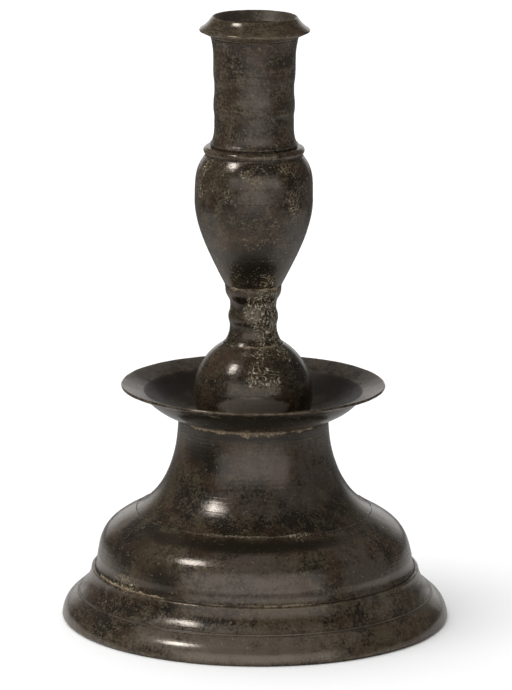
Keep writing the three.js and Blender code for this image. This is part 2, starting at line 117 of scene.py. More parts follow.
@dataclass(frozen=True)
class Settling:
    """How far the stem has moved to the left, as heights and shifts from the foot to the lip."""

    heights: tuple[float, ...] = (0.0, 0.016, 0.032, 0.060, 0.090, 0.118, 0.236)
    shifts: tuple[float, ...] = (0.0, 0.0, 0.0005, 0.0009, 0.0013, 0.00145, 0.0016)

    def shift(self, height: float) -> float:
        """Shift along X at a height.

        Args:
            height: Height above the table.

        Returns:
            The shift, negative to the left.
        """
        pairs = list(zip(self.heights, self.shifts))
        for (low, start), (high, stop) in zip(pairs, pairs[1:]):
            if height <= high:
                share = max(0.0, (height - low) / (high - low))
                return -(start + (stop - start) * share)
        return -self.shifts[-1]


def top(node: str) -> float:
    """Height of the top of one of the frame's nodes."""
    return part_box(node)[1].z


def reach(node: str) -> float:
    """Outer radius of one of the frame's nodes."""
    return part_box(node)[1].x


def joint_radius(film: str) -> float:
    """Radius of the joint that a film of solder fills, past which the film's node stands out."""
    return reach(film) - FILM_OVERHANG


def bearing_of(place: Vector) -> float:
    """Degrees from the front to a place, positive to the right."""
    return math.degrees(math.atan2(place.x, -place.y))


def apart(bearing: float, other: float) -> float:
    """Degrees from one bearing to another, the short way round."""
    return (bearing - other + 180) % 360 - 180


def bezier(path: Sequence[Point], share: float) -> Point:
    """A point on the Bezier curve that a path of control points makes.

    Args:
        path: The control points, first and last on the curve.
        share: How far along the curve, from 0 to 1.

    Returns:
        The point.
    """
    points = list(path)
    while len(points) > 1:
        points = [
            (a[0] + (b[0] - a[0]) * share, a[1] + (b[1] - a[1]) * share)
            for a, b in zip(points, points[1:])
        ]
    return points[0]


class HalfSection:
    """Half of a turned piece's section, walked up its outside and down its inside."""

    CURVE_STEPS = 16
    TANGENT_PART = 8
    KEPT_TURN = math.radians(14)
    ROUNDING_STEPS = 3
    ROUNDING_SHARE = 0.45

    def __init__(self, radius: float, height: float) -> None:
        """Starts the section at a radius and a height."""
        self.points: list[Point] = [(radius, height)]
        self.crisp: list[Point] = []

    def to(self, radius: float, height: float) -> "HalfSection":
        """Goes straight to a radius and a height, and returns the section."""
        self.points.append((radius, height))
        return self

    def meet(self, radius: float, height: float) -> "HalfSection":
        """Goes straight to a corner that closes up against the next piece, and returns the section."""
        self.crisp.append((radius, height))
        return self.to(radius, height)

    def curve(self, *controls: Point) -> "HalfSection":
        """Goes along a Bezier curve that starts where the section has come to.

        Args:
            controls: The curve's other control points, the last of them its end.

        Returns:
            The section.
        """
        path = [self.points[-1], *controls]
        for step in range(1, self.CURVE_STEPS + 1):
            self.points.append(bezier(path, step / self.CURVE_STEPS))
        return self

    def ogee(self, radius: float, height: float) -> "HalfSection":
        """Goes along a moulding that leaves and arrives upright, and returns the section."""
        start = self.points[-1]
        middle = (start[1] + height) / 2
        return self.curve((start[0], middle), (radius, middle), (radius, height))

    def arc(self, centre: Point, radius: float, start: float, stop: float) -> "HalfSection":
        """Goes round a centre.

        Args:
            centre: The arc's centre.
            radius: The arc's radius.
            start: Angle at which it starts, in degrees above the horizontal.
            stop: Angle at which it ends.

        Returns:
            The section.
        """
        for step in range(self.CURVE_STEPS + 1):
            angle = math.radians(start + (stop - start) * step / self.CURVE_STEPS)
            self.to(centre[0] + radius * math.cos(angle), centre[1] + radius * math.sin(angle))
        return self

    def lining(self, path: Sequence[Point], wall: float, highest: float, lowest: float) -> "HalfSection":
        """Goes back down the inside of a wall, between two heights.

        Args:
            path: The control points of the wall's outside curve.
            wall: The wall's thickness.
            highest: Height below which the lining starts.
            lowest: Height above which it ends.

        Returns:
            The section.
        """
        step = 1 / self.CURVE_STEPS
        near = step / self.TANGENT_PART
        for index in range(self.CURVE_STEPS, -1, -1):
            here = bezier(path, index * step)
            before, after = bezier(path, index * step - near), bezier(path, index * step + near)
            run, rise = after[0] - before[0], after[1] - before[1]
            length = math.hypot(run, rise)
            inside = (here[0] - wall * rise / length, here[1] + wall * run / length)
            if lowest <= inside[1] <= highest:
                self.points.append(inside)
        return self

    def eased(self, easing: float, spacing: float) -> list[Point]:
        """The section with its corners rounded and its long stretches divided.

        Args:
            easing: How far from a corner its rounding starts.
            spacing: The longest stretch that is left.

        Returns:
            The points of the closed outline.
        """
        corners = [p for p, q in zip(self.points, self.points[1:] + self.points[:1]) if math.dist(p, q) > SAME]
        rounded: list[Point] = []
        for before, here, after in zip(corners[-1:] + corners[:-1], corners, corners[1:] + corners[:1]):
            gentle = abs(turn_angle(before, here, after)) < self.KEPT_TURN
            if gentle or here[0] < easing or here in self.crisp:
                rounded.append(here)
                continue
            start, stop = (
                towards(here, end, min(easing, math.dist(here, end) * self.ROUNDING_SHARE)) for end in (before, after)
            )
            steps = range(self.ROUNDING_STEPS + 1)
            rounded += [bezier((start, here, stop), step / self.ROUNDING_STEPS) for step in steps]
        divided: list[Point] = []
        for here, after in zip(rounded, rounded[1:] + rounded[:1]):
            pieces = max(1, math.ceil(math.dist(here, after) / spacing))
            divided += [towards(here, after, math.dist(here, after) * k / pieces) for k in range(pieces)]
        return divided


def towards(start: Point, stop: Point, distance: float) -> Point:
    """The point at a distance from one point towards another."""
    share = distance / (math.dist(start, stop) or 1.0)
    return (start[0] + (stop[0] - start[0]) * share, start[1] + (stop[1] - start[1]) * share)


def turn_angle(before: Point, here: Point, after: Point) -> float:
    """The angle by which an outline turns at a point, positive at an outer edge."""
    first = math.atan2(here[1] - before[1], here[0] - before[0])
    second = math.atan2(after[1] - here[1], after[0] - here[0])
    return (second - first + math.pi) % (2 * math.pi) - math.pi


def spin_rail(mesh: bmesh.types.BMesh, rail: Sequence[bmesh.types.BMVert], steps: int) -> None:
    """Joins points into a closed outline and spins it round the upright axis.

    Args:
        mesh: The bmesh that holds the points and nothing else.
        rail: The points, in order.
        steps: Divisions round the axis.
    """
    for here, after in zip(rail, rail[1:] + rail[:1]):
        mesh.edges.new((here, after))
    bmesh.ops.spin(
        mesh, geom=mesh.verts[:] + mesh.edges[:], cent=(0, 0, 0), axis=(0, 0, 1), angle=math.tau, steps=steps,
        use_merge=True,
    )
    bmesh.ops.remove_doubles(mesh, verts=mesh.verts[:], dist=SAME)
    bmesh.ops.recalc_face_normals(mesh, faces=mesh.faces[:])


@dataclass
class Lathe:
    """Turns half sections into worn castings.

    Args:
        steps: Divisions round the piece.
        spacing: The longest stretch along the section.
        easing: How far from a corner its rounding starts.
        wander: How far the hand-finished surface strays.
        wander_size: Distance over which it strays.
        grain: Height of the fine unevenness.
        grain_size: Distance across its bumps.
        crust_height: How far crust stands up.
        crust_size: Distance across a grain of crust.
        settling: How the stem has settled.
    """

    BEND_SIZE = 1.1 * MM
    LEAST_SPAN = 0.05 * MM
    UPWARD_SHARE = 0.35

    steps: int = 192
    spacing: float = 1.2 * MM
    easing: float = 0.3 * MM
    wander: float = 0.16 * MM
    wander_size: float = 26 * MM
    grain: float = 0.045 * MM
    grain_size: float = 5.0 * MM
    crust_height: float = 0.24 * MM
    crust_size: float = 1.3 * MM
    settling: Settling = field(default_factory=Settling)

    def turn(self, name: str, section: HalfSection, blooms: Sequence[Bloom] = ()) -> bpy.types.Object:
        """Makes a casting.

        Args:
            name: The piece's name.
            section: Its half section.
            blooms: The changed patches of its skin.

        Returns:
            The piece's object, with the attributes edge, nook, inside, crust, stain_and_shade and haze_and_sheen on
            its points.
        """
        outline = section.eased(self.easing, self.spacing)
        mesh = bmesh.new()
        layers = {key: mesh.verts.layers.float.new(key) for key in FELT}
        rail = [mesh.verts.new((r, 0.0, z)) for r, z in outline]
        for index, (vert, bend) in enumerate(zip(rail, self.bends(outline))):
            if all(math.dist(outline[index], corner) > self.spacing for corner in section.crisp):
                vert[layers["edge"]], vert[layers["nook"]] = max(0.0, bend), max(0.0, -bend)
            vert[layers["inside"]] = self.inward(outline, index)
        spin_rail(mesh, rail, self.steps)
        mesh.normal_update()
        for vert in mesh.verts:
            for bloom in blooms:
                layer = layers[bloom.change.value]
                vert[layer] = min(1.0, vert[layer] + self.share(vert.co, bloom))
        places = [self.aged(v.co, v.normal, v[layers["edge"]], v[layers["crust"]]) for v in mesh.verts]
        for vert, place in zip(mesh.verts, places):
            vert.co = place
        return finished(name, mesh)

    def bends(self, outline: Sequence[Point]) -> list[float]:
        """How sharply an outline bends at each point, from -1 in a nook to 1 on an edge."""
        count = len(outline)
        raw = []
        for index, here in enumerate(outline):
            before, after = outline[index - 1], outline[(index + 1) % count]
            span = (math.dist(before, here) + math.dist(here, after)) / 2
            raw.append(turn_angle(before, here, after) * self.BEND_SIZE / max(span, self.LEAST_SPAN))
        soft = [0.25 * raw[i - 1] + 0.5 * raw[i] + 0.25 * raw[(i + 1) % count] for i in range(count)]
        return [max(-1.0, min(1.0, bend)) for bend in soft]

    def inward(self, outline: Sequence[Point], index: int) -> float:
        """How far a point of an outline faces the axis, from 0 to 1."""
        before, after = outline[index - 1], outline[(index + 1) % len(outline)]
        return max(0.0, (before[1] - after[1]) / (math.dist(before, after) or 1.0))

    def stray(self, place: Vector) -> Vector:
        """How far the surface has strayed at a place, less up and down than to the sides."""
        stray = noise.noise_vector(place / self.wander_size) * self.wander
        stray.z *= self.UPWARD_SHARE
        return stray

    def aged(self, place: Vector, normal: Vector, edge: float, crust: float) -> Vector:
        """Where a point of the surface has come to with age.

        Args:
            place: The point, as it was turned.
            normal: The way it faces.
            edge: How sharp the edge is that it lies on.
            crust: How much crust covers it.

        Returns:
            Its new place.
        """
        bumps = noise.noise(place / self.grain_size) * self.grain * (1 + edge)
        if crust > 0:
            bumps += self.crust_height * crust * (0.5 + noise.noise(place / self.crust_size))
        moved = place + self.stray(place) + normal * bumps
        moved.x += self.settling.shift(moved.z)
        moved.z = max(0.0, moved.z)
        return moved

    def share(self, place: Vector, bloom: Bloom) -> float:
        """How much of a bloom reaches a place, from 0 to its strength."""
        across = math.radians(apart(bearing_of(place), bloom.bearing)) * math.hypot(place.x, place.y)
        away = math.hypot(across / bloom.stretch, place.z - bloom.height) / bloom.spread
        return bloom.strength * max(0.0, 1 - away * away)


def finished(name: str, mesh: bmesh.types.BMesh) -> bpy.types.Object:
    """Turns a finished bmesh into a smooth-shaded object at the origin.

    Args:
        name: The object's name.
        mesh: The bmesh, which is freed.

    Returns:
        The object, linked to the scene.
    """
    for face in mesh.faces:
        face.smooth = True
    data = bpy.data.meshes.new(name)
    mesh.to_mesh(data)
    mesh.free()
    piece = bpy.data.objects.new(name, data)
    bpy.context.scene.collection.objects.link(piece)
    return piece


@dataclass(frozen=True)
class Cloud:
    """A cloudy noise.

    Args:
        scale: Its clouds to the metre, unless the caller gives another scale.
        detail: How many finer layers it has.
        rough: How strong those layers are.
        shift: Keeps it apart from the other clouds.
    """

    scale: float = 1.0
    detail: float = 3.0
    rough: float = 0.55
    shift: tuple[float, float, float] = (0.0, 0.0, 0.0)


PATCH = Cloud(detail=4.0, rough=0.6)
BLOTCH = Cloud(rough=0.6, shift=(0.31, 0.17, 0.05))
MOTTLE = Cloud(rough=0.72)
HUE = Cloud(detail=2.0, rough=0.5, shift=(0.12, 0.55, 0.21))
STREAK = Cloud(170.0, rough=0.7)
GRIT = Cloud(detail=2.0, rough=0.7)
FLECK = Cloud(detail=1.0, rough=0.6, shift=(0.2, 0.9, 0.4))
COARSE_FLECK = Cloud(detail=2.0, rough=0.6, shift=(0.5, 0.1, 0.8))
CLUSTER = Cloud(rough=0.6, shift=(0.7, 0.2, 0.4))
CURL = Cloud(detail=1.0, rough=0.5, shift=(0.9, 0.4, 0.1))
DRIFT = Cloud(40.0, detail=2.0)
BREAKING = Cloud(420.0, detail=4.0, rough=0.7)
BLOT = Cloud(190.0, rough=0.6, shift=(0.8, 0.6, 0.3))
SCURF = Cloud(420.0, detail=4.0, rough=0.65, shift=(0.4, 0.3, 0.6))
CRUMBS = Cloud(900.0, detail=2.0, rough=0.6)
GAPS = Cloud(1500.0, detail=2.0, rough=0.65, shift=(0.6, 0.2, 0.7))
SOLDER_CRUMBS = Cloud(1100.0, rough=0.7)
SOLDER_STRETCH = Cloud(260.0, detail=2.0, rough=0.6)


class Bench:
    """A node tree under construction."""

    def __init__(self, tree: bpy.types.NodeTree) -> None:
        """Starts work on a tree, from nothing."""
        self.tree = tree
        self.tree.nodes.clear()

    def add(self, kind: str, inputs: dict | None = None, **settings: object) -> bpy.types.Node:
        """Adds a node.

        Args:
            kind: The node's type name.
            inputs: Values or output sockets for its inputs, by name or number.
            settings: Values for its own properties.

        Returns:
            The node.
        """
        node = self.tree.nodes.new(kind)
        for key, value in settings.items():
            setattr(node, key, value)
        for key, value in (inputs or {}).items():
            if isinstance(value, bpy.types.NodeSocket):
                self.tree.links.new(value, node.inputs[key])
            else:
                node.inputs[key].default_value = value
        return node

    def math(self, operation: str, first: object, second: object = 0.0, third: object = 0.0) -> Wire:
        """Adds a calculation with up to three numbers and returns its result."""
        inputs = {0: first, 1: second, 2: third}
        return self.add("ShaderNodeMath", inputs, operation=operation).outputs[0]

    def times(self, first: object, second: object) -> Wire:
        """Multiplies two numbers and returns the result."""
        return self.math("MULTIPLY", first, second)

    def raised(self, base: object, *parts: tuple[object, object]) -> Wire:
        """Adds numbers to a base, each times its own factor, and returns the sum."""
        for value, factor in parts:
            base = self.math("MULTIPLY_ADD", value, factor, base)
        return base

    def stirred(self, base: object, *parts: tuple[Wire, float]) -> Wire:
        """Moves a base up and down with clouds, which average a half, and returns the result."""
        for cloud, factor in parts:
            base = self.math("MULTIPLY_ADD", self.math("SUBTRACT", cloud, 0.5), factor, base)
        return base

    def mix(self, share: object, first: object, second: object) -> Wire:
        """Mixes two colours and returns the result."""
        inputs = {0: share, 6: first, 7: second}
        return self.add("ShaderNodeMix", inputs, data_type="RGBA").outputs[2]

    def ramp(self, value: object, low: object, high: object) -> Wire:
        """Turns a stretch of values into a smooth step from 0 to 1 and returns it."""
        inputs = {"Value": value, "From Min": low, "From Max": high}
        return self.add("ShaderNodeMapRange", inputs, interpolation_type="SMOOTHSTEP").outputs[0]

    def place(self) -> Wire:
        """The point that is shaded, in the piece's own coordinates."""
        return self.add("ShaderNodeTexCoord").outputs["Object"]

    def felt(self, name: str) -> Wire:
        """What the surface carries under an attribute's name."""
        return self.add("ShaderNodeAttribute", attribute_name=name).outputs["Fac"]

    def cloud(self, place: Wire, look: Cloud, scale: Wire | None = None) -> Wire:
        """Adds cloudy noise, at its own scale or at the one given, and returns its value."""
        if any(look.shift):
            place = self.add("ShaderNodeVectorMath", {0: place, 1: look.shift}, operation="ADD").outputs[0]
        inputs = {
            "Vector": place, "Scale": look.scale if scale is None else scale, "Detail": look.detail,
            "Roughness": look.rough,
        }
        return self.add("ShaderNodeTexNoise", inputs).outputs["Fac"]

    def bump(self, relief: Wire) -> Wire:
        """Turns a relief in metres into a normal and returns it."""
        return self.add("ShaderNodeBump", {"Height": relief, "Strength": 1.0, "Distance": 1.0}).outputs[0]

    def surface(self, inputs: dict) -> None:
        """Ends a material with a Principled shader."""
        shader = self.add("ShaderNodeBsdfPrincipled", inputs)
        self.add("ShaderNodeOutputMaterial", {"Surface": shader.outputs[0]})


class GroupBench(Bench):
    """A shader node group under construction."""

    def __init__(
        self, name: str, inputs: Sequence[tuple[str, str, object]], outputs: Sequence[tuple[str, str]]
    ) -> None:
        """Starts a group with named sockets.

        Args:
            name: The group's name.
            inputs: Name, kind and default of each input.
            outputs: Name and kind of each output.
        """
        tree = bpy.data.node_groups.new(name, "ShaderNodeTree")
        for label, kind, default in inputs:
            socket = tree.interface.new_socket(label, in_out="INPUT", socket_type=f"NodeSocket{kind}")
            if default is not None:
                socket.default_value = default
        for label, kind in outputs:
            tree.interface.new_socket(label, in_out="OUTPUT", socket_type=f"NodeSocket{kind}")
        super().__init__(tree)
        self.given = self.add("NodeGroupInput").outputs
        self.sink = self.add("NodeGroupOutput")

    def put_out(self, **values: Wire) -> bpy.types.NodeTree:
        """Links values to the outputs of their names and returns the group's tree."""
        for label, value in values.items():
            self.tree.links.new(value, self.sink.inputs[label])
        return self.tree


def new_material(name: str) -> tuple[bpy.types.Material, Bench]:
    """Starts a material and returns it with its bench."""
    made = bpy.data.materials.new(name)
    made.use_nodes = True
    return made, Bench(made.node_tree)


class SkinGroups:
    """The shader node groups that the finishes share, each built once."""

    BLOTCH_RATIO = 5.3
    HUE_RATIO = 0.4
    GRIT_RATIO = 2.3
    COARSE_RATIO = 0.42
    FLATTENED = (1.0, 1.0, 5.0)
    TINT_SHARE = 0.6
    FLECK_LEVEL = 0.655
    FLECK_EDGE = 0.035
    RING_DRIFT = 1.2 * MM

    def __init__(self) -> None:
        """Builds every group."""
        self.clouds = self.build_clouds()
        self.specks = self.build_specks()
        self.marks = self.build_marks()
        self.wear = self.build_wear()

    def build_clouds(self) -> bpy.types.NodeTree:
        """Patches of several tones that run into each other, with fine mottling over them."""
        bench = GroupBench(
            "Clouded skin",
            [
                ("Vector", "Vector", None), ("Shadow", "Color", BLACK), ("Ground", "Color", BLACK),
                ("Tint", "Color", BLACK), ("Lift", "Color", BLACK), ("Patch Scale", "Float", 60.0),
                ("Mottle Scale", "Float", 700.0), ("Lift Share", "Float", 0.5),
            ],
            [("Color", "Color"), ("Mottle", "Float")],
        )
        given, place = bench.given, bench.given["Vector"]
        finer = bench.times(given["Patch Scale"], self.BLOTCH_RATIO)
        patch = bench.cloud(place, PATCH, given["Patch Scale"])
        blotch = bench.cloud(place, BLOTCH, finer)
        mottle = bench.cloud(place, MOTTLE, given["Mottle Scale"])
        hue = bench.cloud(place, HUE, bench.times(finer, self.HUE_RATIO))
        grit = bench.cloud(place, GRIT, bench.times(given["Mottle Scale"], self.GRIT_RATIO))
        flat = bench.add("ShaderNodeVectorMath", {0: place, 1: self.FLATTENED}, operation="MULTIPLY")
        streak = bench.cloud(flat.outputs[0], STREAK)
        grainy = bench.stirred(patch, (mottle, 0.9), (blotch, 0.6), (streak, 0.35), (grit, 0.5))
        ground = bench.mix(bench.ramp(grainy, 0.34, 0.66), given["Shadow"], given["Ground"])
        tinted = bench.times(bench.ramp(hue, 0.46, 0.66), self.TINT_SHARE)
        ground = bench.mix(tinted, ground, given["Tint"])
        light = bench.stirred(blotch, (mottle, 1.2), (streak, 0.35), (grit, 0.9))
        light = bench.times(bench.ramp(light, 0.50, 0.74), given["Lift Share"])
        return bench.put_out(Color=bench.mix(light, ground, given["Lift"]), Mottle=mottle)

    def build_specks(self) -> bpy.types.NodeTree:
        """Fine pale flecks that gather in clusters, and a lace of crust."""
        bench = GroupBench(
            "Flecks",
            [
                ("Vector", "Vector", None), ("Scale", "Float", 1500.0), ("Cluster Scale", "Float", 90.0),
                ("Coverage", "Float", 0.3), ("Density", "Float", 0.0),
            ],
            [("Mask", "Float"), ("Lace", "Float")],
        )
        given, place = bench.given, bench.given["Vector"]
        coarse_scale = bench.times(given["Scale"], self.COARSE_RATIO)
        fine = bench.cloud(place, FLECK, given["Scale"])
        coarse = bench.cloud(place, COARSE_FLECK, coarse_scale)
        cluster = bench.cloud(place, CLUSTER, given["Cluster Scale"])
        value = bench.math("ADD", bench.times(fine, 0.6), bench.times(coarse, 0.4))
        gathered = bench.times(bench.ramp(cluster, 0.40, 0.66), given["Coverage"])
        level = bench.raised(self.FLECK_LEVEL, (gathered, -0.10), (given["Density"], -0.07))
        mask = bench.ramp(value, level, bench.math("ADD", level, self.FLECK_EDGE))
        curl = bench.math("SUBTRACT", bench.cloud(place, CURL, coarse_scale), 0.5)
        line = bench.ramp(bench.math("ABSOLUTE", curl), 0.050, 0.015)
        held = bench.ramp(bench.raised(fine, (given["Density"], 0.30)), 0.56, 0.74)
        return bench.put_out(Mask=mask, Lace=bench.times(line, held))

    def build_marks(self) -> bpy.types.NodeTree:
        """Fine rings left by the turning tool."""
        bench = GroupBench(
            "Turning marks", [("Vector", "Vector", None), ("Rings Scale", "Float", 900.0)], [("Height", "Float")]
        )
        place = bench.given["Vector"]
        height = bench.add("ShaderNodeSeparateXYZ", {0: place}).outputs[2]
        level = bench.raised(height, (bench.cloud(place, DRIFT), self.RING_DRIFT))
        inputs = {"W": level, "Scale": bench.given["Rings Scale"], "Detail": 2.0}
        rings = bench.add("ShaderNodeTexNoise", inputs, noise_dimensions="1D")
        return bench.put_out(Height=rings.outputs["Fac"])

    def build_wear(self) -> bpy.types.NodeTree:
        """Where handling has bared the edges, and where nooks and inward faces are darkened, as dirt and as painted
        shade.
        """
        bench = GroupBench(
            "Wear, dirt and painted shade",
            [("Vector", "Vector", None), ("Edge", "Float", 0.0), ("Nook", "Float", 0.0), ("Inside", "Float", 0.0)],
            [("Worn", "Float"), ("Dirty", "Float")],
        )
        given = bench.given
        broken = bench.cloud(given["Vector"], BREAKING)
        worn = bench.times(given["Edge"], bench.ramp(broken, 0.42, 0.70))
        # Nooks and inward faces, broken by noise, are darkened as dirt and as painted shade.
        held = bench.raised(given["Nook"], (given["Inside"], 0.8))
        dirt_and_shade = bench.times(held, bench.raised(-0.1, (broken, 1.6)))
        return bench.put_out(Worn=bench.math("MINIMUM", worn, 1.0), Dirty=bench.math("MINIMUM", dirt_and_shade, 1.0))


@dataclass(frozen=True)
class Patina:
    """The skin of old pewter: its tones, its gloss, and what sits on it.

    Args:
        name: The finish's name.
        shadow: Its darkest patches, and the tone that stains and painted shade darken it to.
        ground: Its common tone.
        tint: The tone that it turns to here and there.
        lift: Its lighter patches.
        speck: Its pale flecks.
        bare: Where the edges are worn through.
        veil_and_sheen: The pale tone that a handling film and painted sheen turn the skin to.
        crust: The palest of the crust in its blooms.
        rust: The darkest of that crust.
        moss: The olive scurf round the crust.
        ochre: The warmer scurf.
        patch_scale: Patches to the metre.
        mottle_scale: Fine mottling to the metre.
        lift_share: How far the lighter patches show.
        coverage: Share of the flecks that show.
        crust_scale: Grains of crust to the metre.
        roughness: Mean roughness of the bare skin.
        metallic: How much of the metal shines through the skin.
        sheen: How strongly the skin reflects.
        cast: The tone of its reflections.
        density: The skin's index of refraction.
        ring_depth: Depth of the turning marks.
        grain_depth: Depth of the fine grain.
        fleck_height: How far a fleck stands up.
        crust_height: How far a grain of crust stands up from the crust that the lathe has raised.
    """

    name: str
    shadow: Colour = (0.0135, 0.0104, 0.0068, 1)
    ground: Colour = (0.0400, 0.0290, 0.0165, 1)
    tint: Colour = (0.0520, 0.0290, 0.0160, 1)
    lift: Colour = (0.1050, 0.0850, 0.0540, 1)
    speck: Colour = (0.21, 0.175, 0.115, 1)
    bare: Colour = (0.25, 0.20, 0.135, 1)
    veil_and_sheen: Colour = (0.082, 0.067, 0.053, 1)
    crust: Colour = (0.42, 0.38, 0.28, 1)
    rust: Colour = (0.15, 0.12, 0.070, 1)
    moss: Colour = (0.075, 0.067, 0.033, 1)
    ochre: Colour = (0.170, 0.112, 0.055, 1)
    patch_scale: float = 45.0
    mottle_scale: float = 950.0
    lift_share: float = 0.55
    coverage: float = 0.6
    crust_scale: float = 1250.0
    roughness: float = 0.19
    metallic: float = 0.12
    sheen: float = 0.52
    cast: Colour = (1.0, 0.90, 0.82, 1)
    density: float = 1.6
    ring_depth: float = 0.02 * MM
    grain_depth: float = 0.034 * MM
    fleck_height: float = 0.03 * MM
    crust_height: float = 0.12 * MM

    def material(self, groups: SkinGroups) -> bpy.types.Material:
        """Builds the finish.

        Args:
            groups: The shared shader node groups.

        Returns:
            The material.
        """
        made, bench = new_material(self.name)
        place = bench.place()
        felt = {key: bench.felt(key) for key in FELT}
        clouds = bench.add("ShaderNodeGroup", {
            "Vector": place, "Shadow": self.shadow, "Ground": self.ground, "Tint": self.tint, "Lift": self.lift,
            "Patch Scale": self.patch_scale, "Mottle Scale": self.mottle_scale, "Lift Share": self.lift_share,
        }, node_tree=groups.clouds).outputs
        flecks = bench.add(
            "ShaderNodeGroup", {"Vector": place, "Coverage": self.coverage}, node_tree=groups.specks
        ).outputs["Mask"]
        grains = bench.add("ShaderNodeGroup", {
            "Vector": place, "Coverage": 0.0, "Scale": self.crust_scale, "Density": felt["crust"],
        }, node_tree=groups.specks).outputs
        rings = bench.add("ShaderNodeGroup", {"Vector": place}, node_tree=groups.marks).outputs["Height"]
        wear = bench.add("ShaderNodeGroup", {
            "Vector": place, "Edge": felt["edge"], "Nook": felt["nook"], "Inside": felt["inside"],
        }, node_tree=groups.wear).outputs
        worn, dirt_and_shade, mottle = wear["Worn"], wear["Dirty"], clouds["Mottle"]

        blot = bench.cloud(place, BLOT)
        extent = bench.ramp(bench.stirred(felt["crust"], (blot, 1.5)), 0.12, 0.5)
        extent = bench.times(extent, bench.ramp(felt["crust"], 0.02, 0.15))
        crusted = bench.times(bench.math("MAXIMUM", grains["Mask"], grains["Lace"]), extent)

        # The skin turns paler in patches towards the pale tone, as a handling film and as painted sheen.
        film = bench.ramp(bench.stirred(felt["haze_and_sheen"], (blot, 1.6), (mottle, 1.3)), 0.05, 0.95)
        film = bench.times(film, bench.ramp(felt["haze_and_sheen"], 0.0, 0.25))
        colour = bench.mix(bench.times(film, 0.85), clouds["Color"], self.veil_and_sheen)
        # Painted shade and stains: nooks, inward faces and the darker patches are darkened towards the shadow tone.
        stain_and_shade_mask = bench.ramp(bench.raised(felt["stain_and_shade"], (mottle, 0.8)), 0.45, 1.15)
        colour = bench.mix(bench.math("MAXIMUM", bench.times(dirt_and_shade, 0.75), stain_and_shade_mask), colour, self.shadow)
        colour = self.scurfed(bench, colour, bench.stirred(extent, (mottle, 1.8)))
        colour = bench.mix(bench.times(worn, 0.6), colour, self.bare)
        colour = bench.mix(bench.times(flecks, bench.raised(0.1, (mottle, 0.9))), colour, self.speck)
        crust_tone = bench.mix(bench.ramp(bench.cloud(place, CRUMBS), 0.40, 0.64), self.rust, self.crust)
        colour = bench.mix(crusted, colour, crust_tone)

        # the mottle averages a half, so it leaves the mean roughness where it is
        matt = bench.raised(
            self.roughness - 0.15, (mottle, 0.3), (crusted, 0.3), (flecks, 0.15), (dirt_and_shade, 0.25), (felt["inside"], 0.22)
        )
        relief = bench.raised(
            bench.times(mottle, self.grain_depth), (rings, self.ring_depth), (flecks, self.fleck_height),
            (crusted, self.crust_height),
        )
        bench.surface({
            "Base Color": colour, "Roughness": matt, "Metallic": bench.raised(self.metallic, (worn, 0.4)),
            "Normal": bench.bump(relief), "Specular IOR Level": self.sheen, "Specular Tint": self.cast,
            "IOR": self.density,
        })
        return made

    def scurfed(self, bench: Bench, colour: Wire, spread: Wire) -> Wire:
        """Lays olive and ochre scurf over a colour, with dark gaps in it.

        Args:
            bench: The material's bench.
            colour: The colour under it.
            spread: How far the crust has spread.

        Returns:
            The colour with the scurf.
        """
        place = bench.place()
        tone = bench.mix(bench.ramp(bench.cloud(place, SCURF), 0.42, 0.60), self.moss, self.ochre)
        tone = bench.mix(bench.ramp(bench.cloud(place, GAPS), 0.44, 0.58), self.shadow, tone)
        return bench.mix(bench.times(bench.ramp(spread, 0.45, 1.05), 0.8), colour, tone)


@dataclass(frozen=True)
class DrySolder:
    """The dull solder in the joints, and the tan crust that has come out of them.

    Args:
        name: The finish's name.
        pale: The palest of the crust.
        rust: The darkest of it.
        dark: The solder where no crust shows.
        roughness: How dull it is.
        metallic: How much of the metal shows.
        relief: Height of the crust's grains.
    """

    name: str = "old_solder"
    pale: Colour = (0.33, 0.265, 0.17, 1)
    rust: Colour = (0.13, 0.082, 0.042, 1)
    dark: Colour = (0.030, 0.022, 0.013, 1)
    roughness: float = 0.62
    metallic: float = 0.1
    relief: float = 0.15 * MM

    def material(self) -> bpy.types.Material:
        """Builds the finish and returns the material."""
        made, bench = new_material(self.name)
        place = bench.place()
        crumbs = bench.cloud(place, SOLDER_CRUMBS)
        shown = bench.raised(bench.cloud(place, SOLDER_STRETCH), (bench.felt("crust"), 0.75))
        tone = bench.mix(bench.ramp(crumbs, 0.38, 0.62), self.rust, self.pale)
        bench.surface({
            "Base Color": bench.mix(bench.ramp(shown, 0.62, 0.95), self.dark, tone), "Roughness": self.roughness,
            "Metallic": self.metallic, "Normal": bench.bump(bench.times(crumbs, self.relief)),
        })
        return made


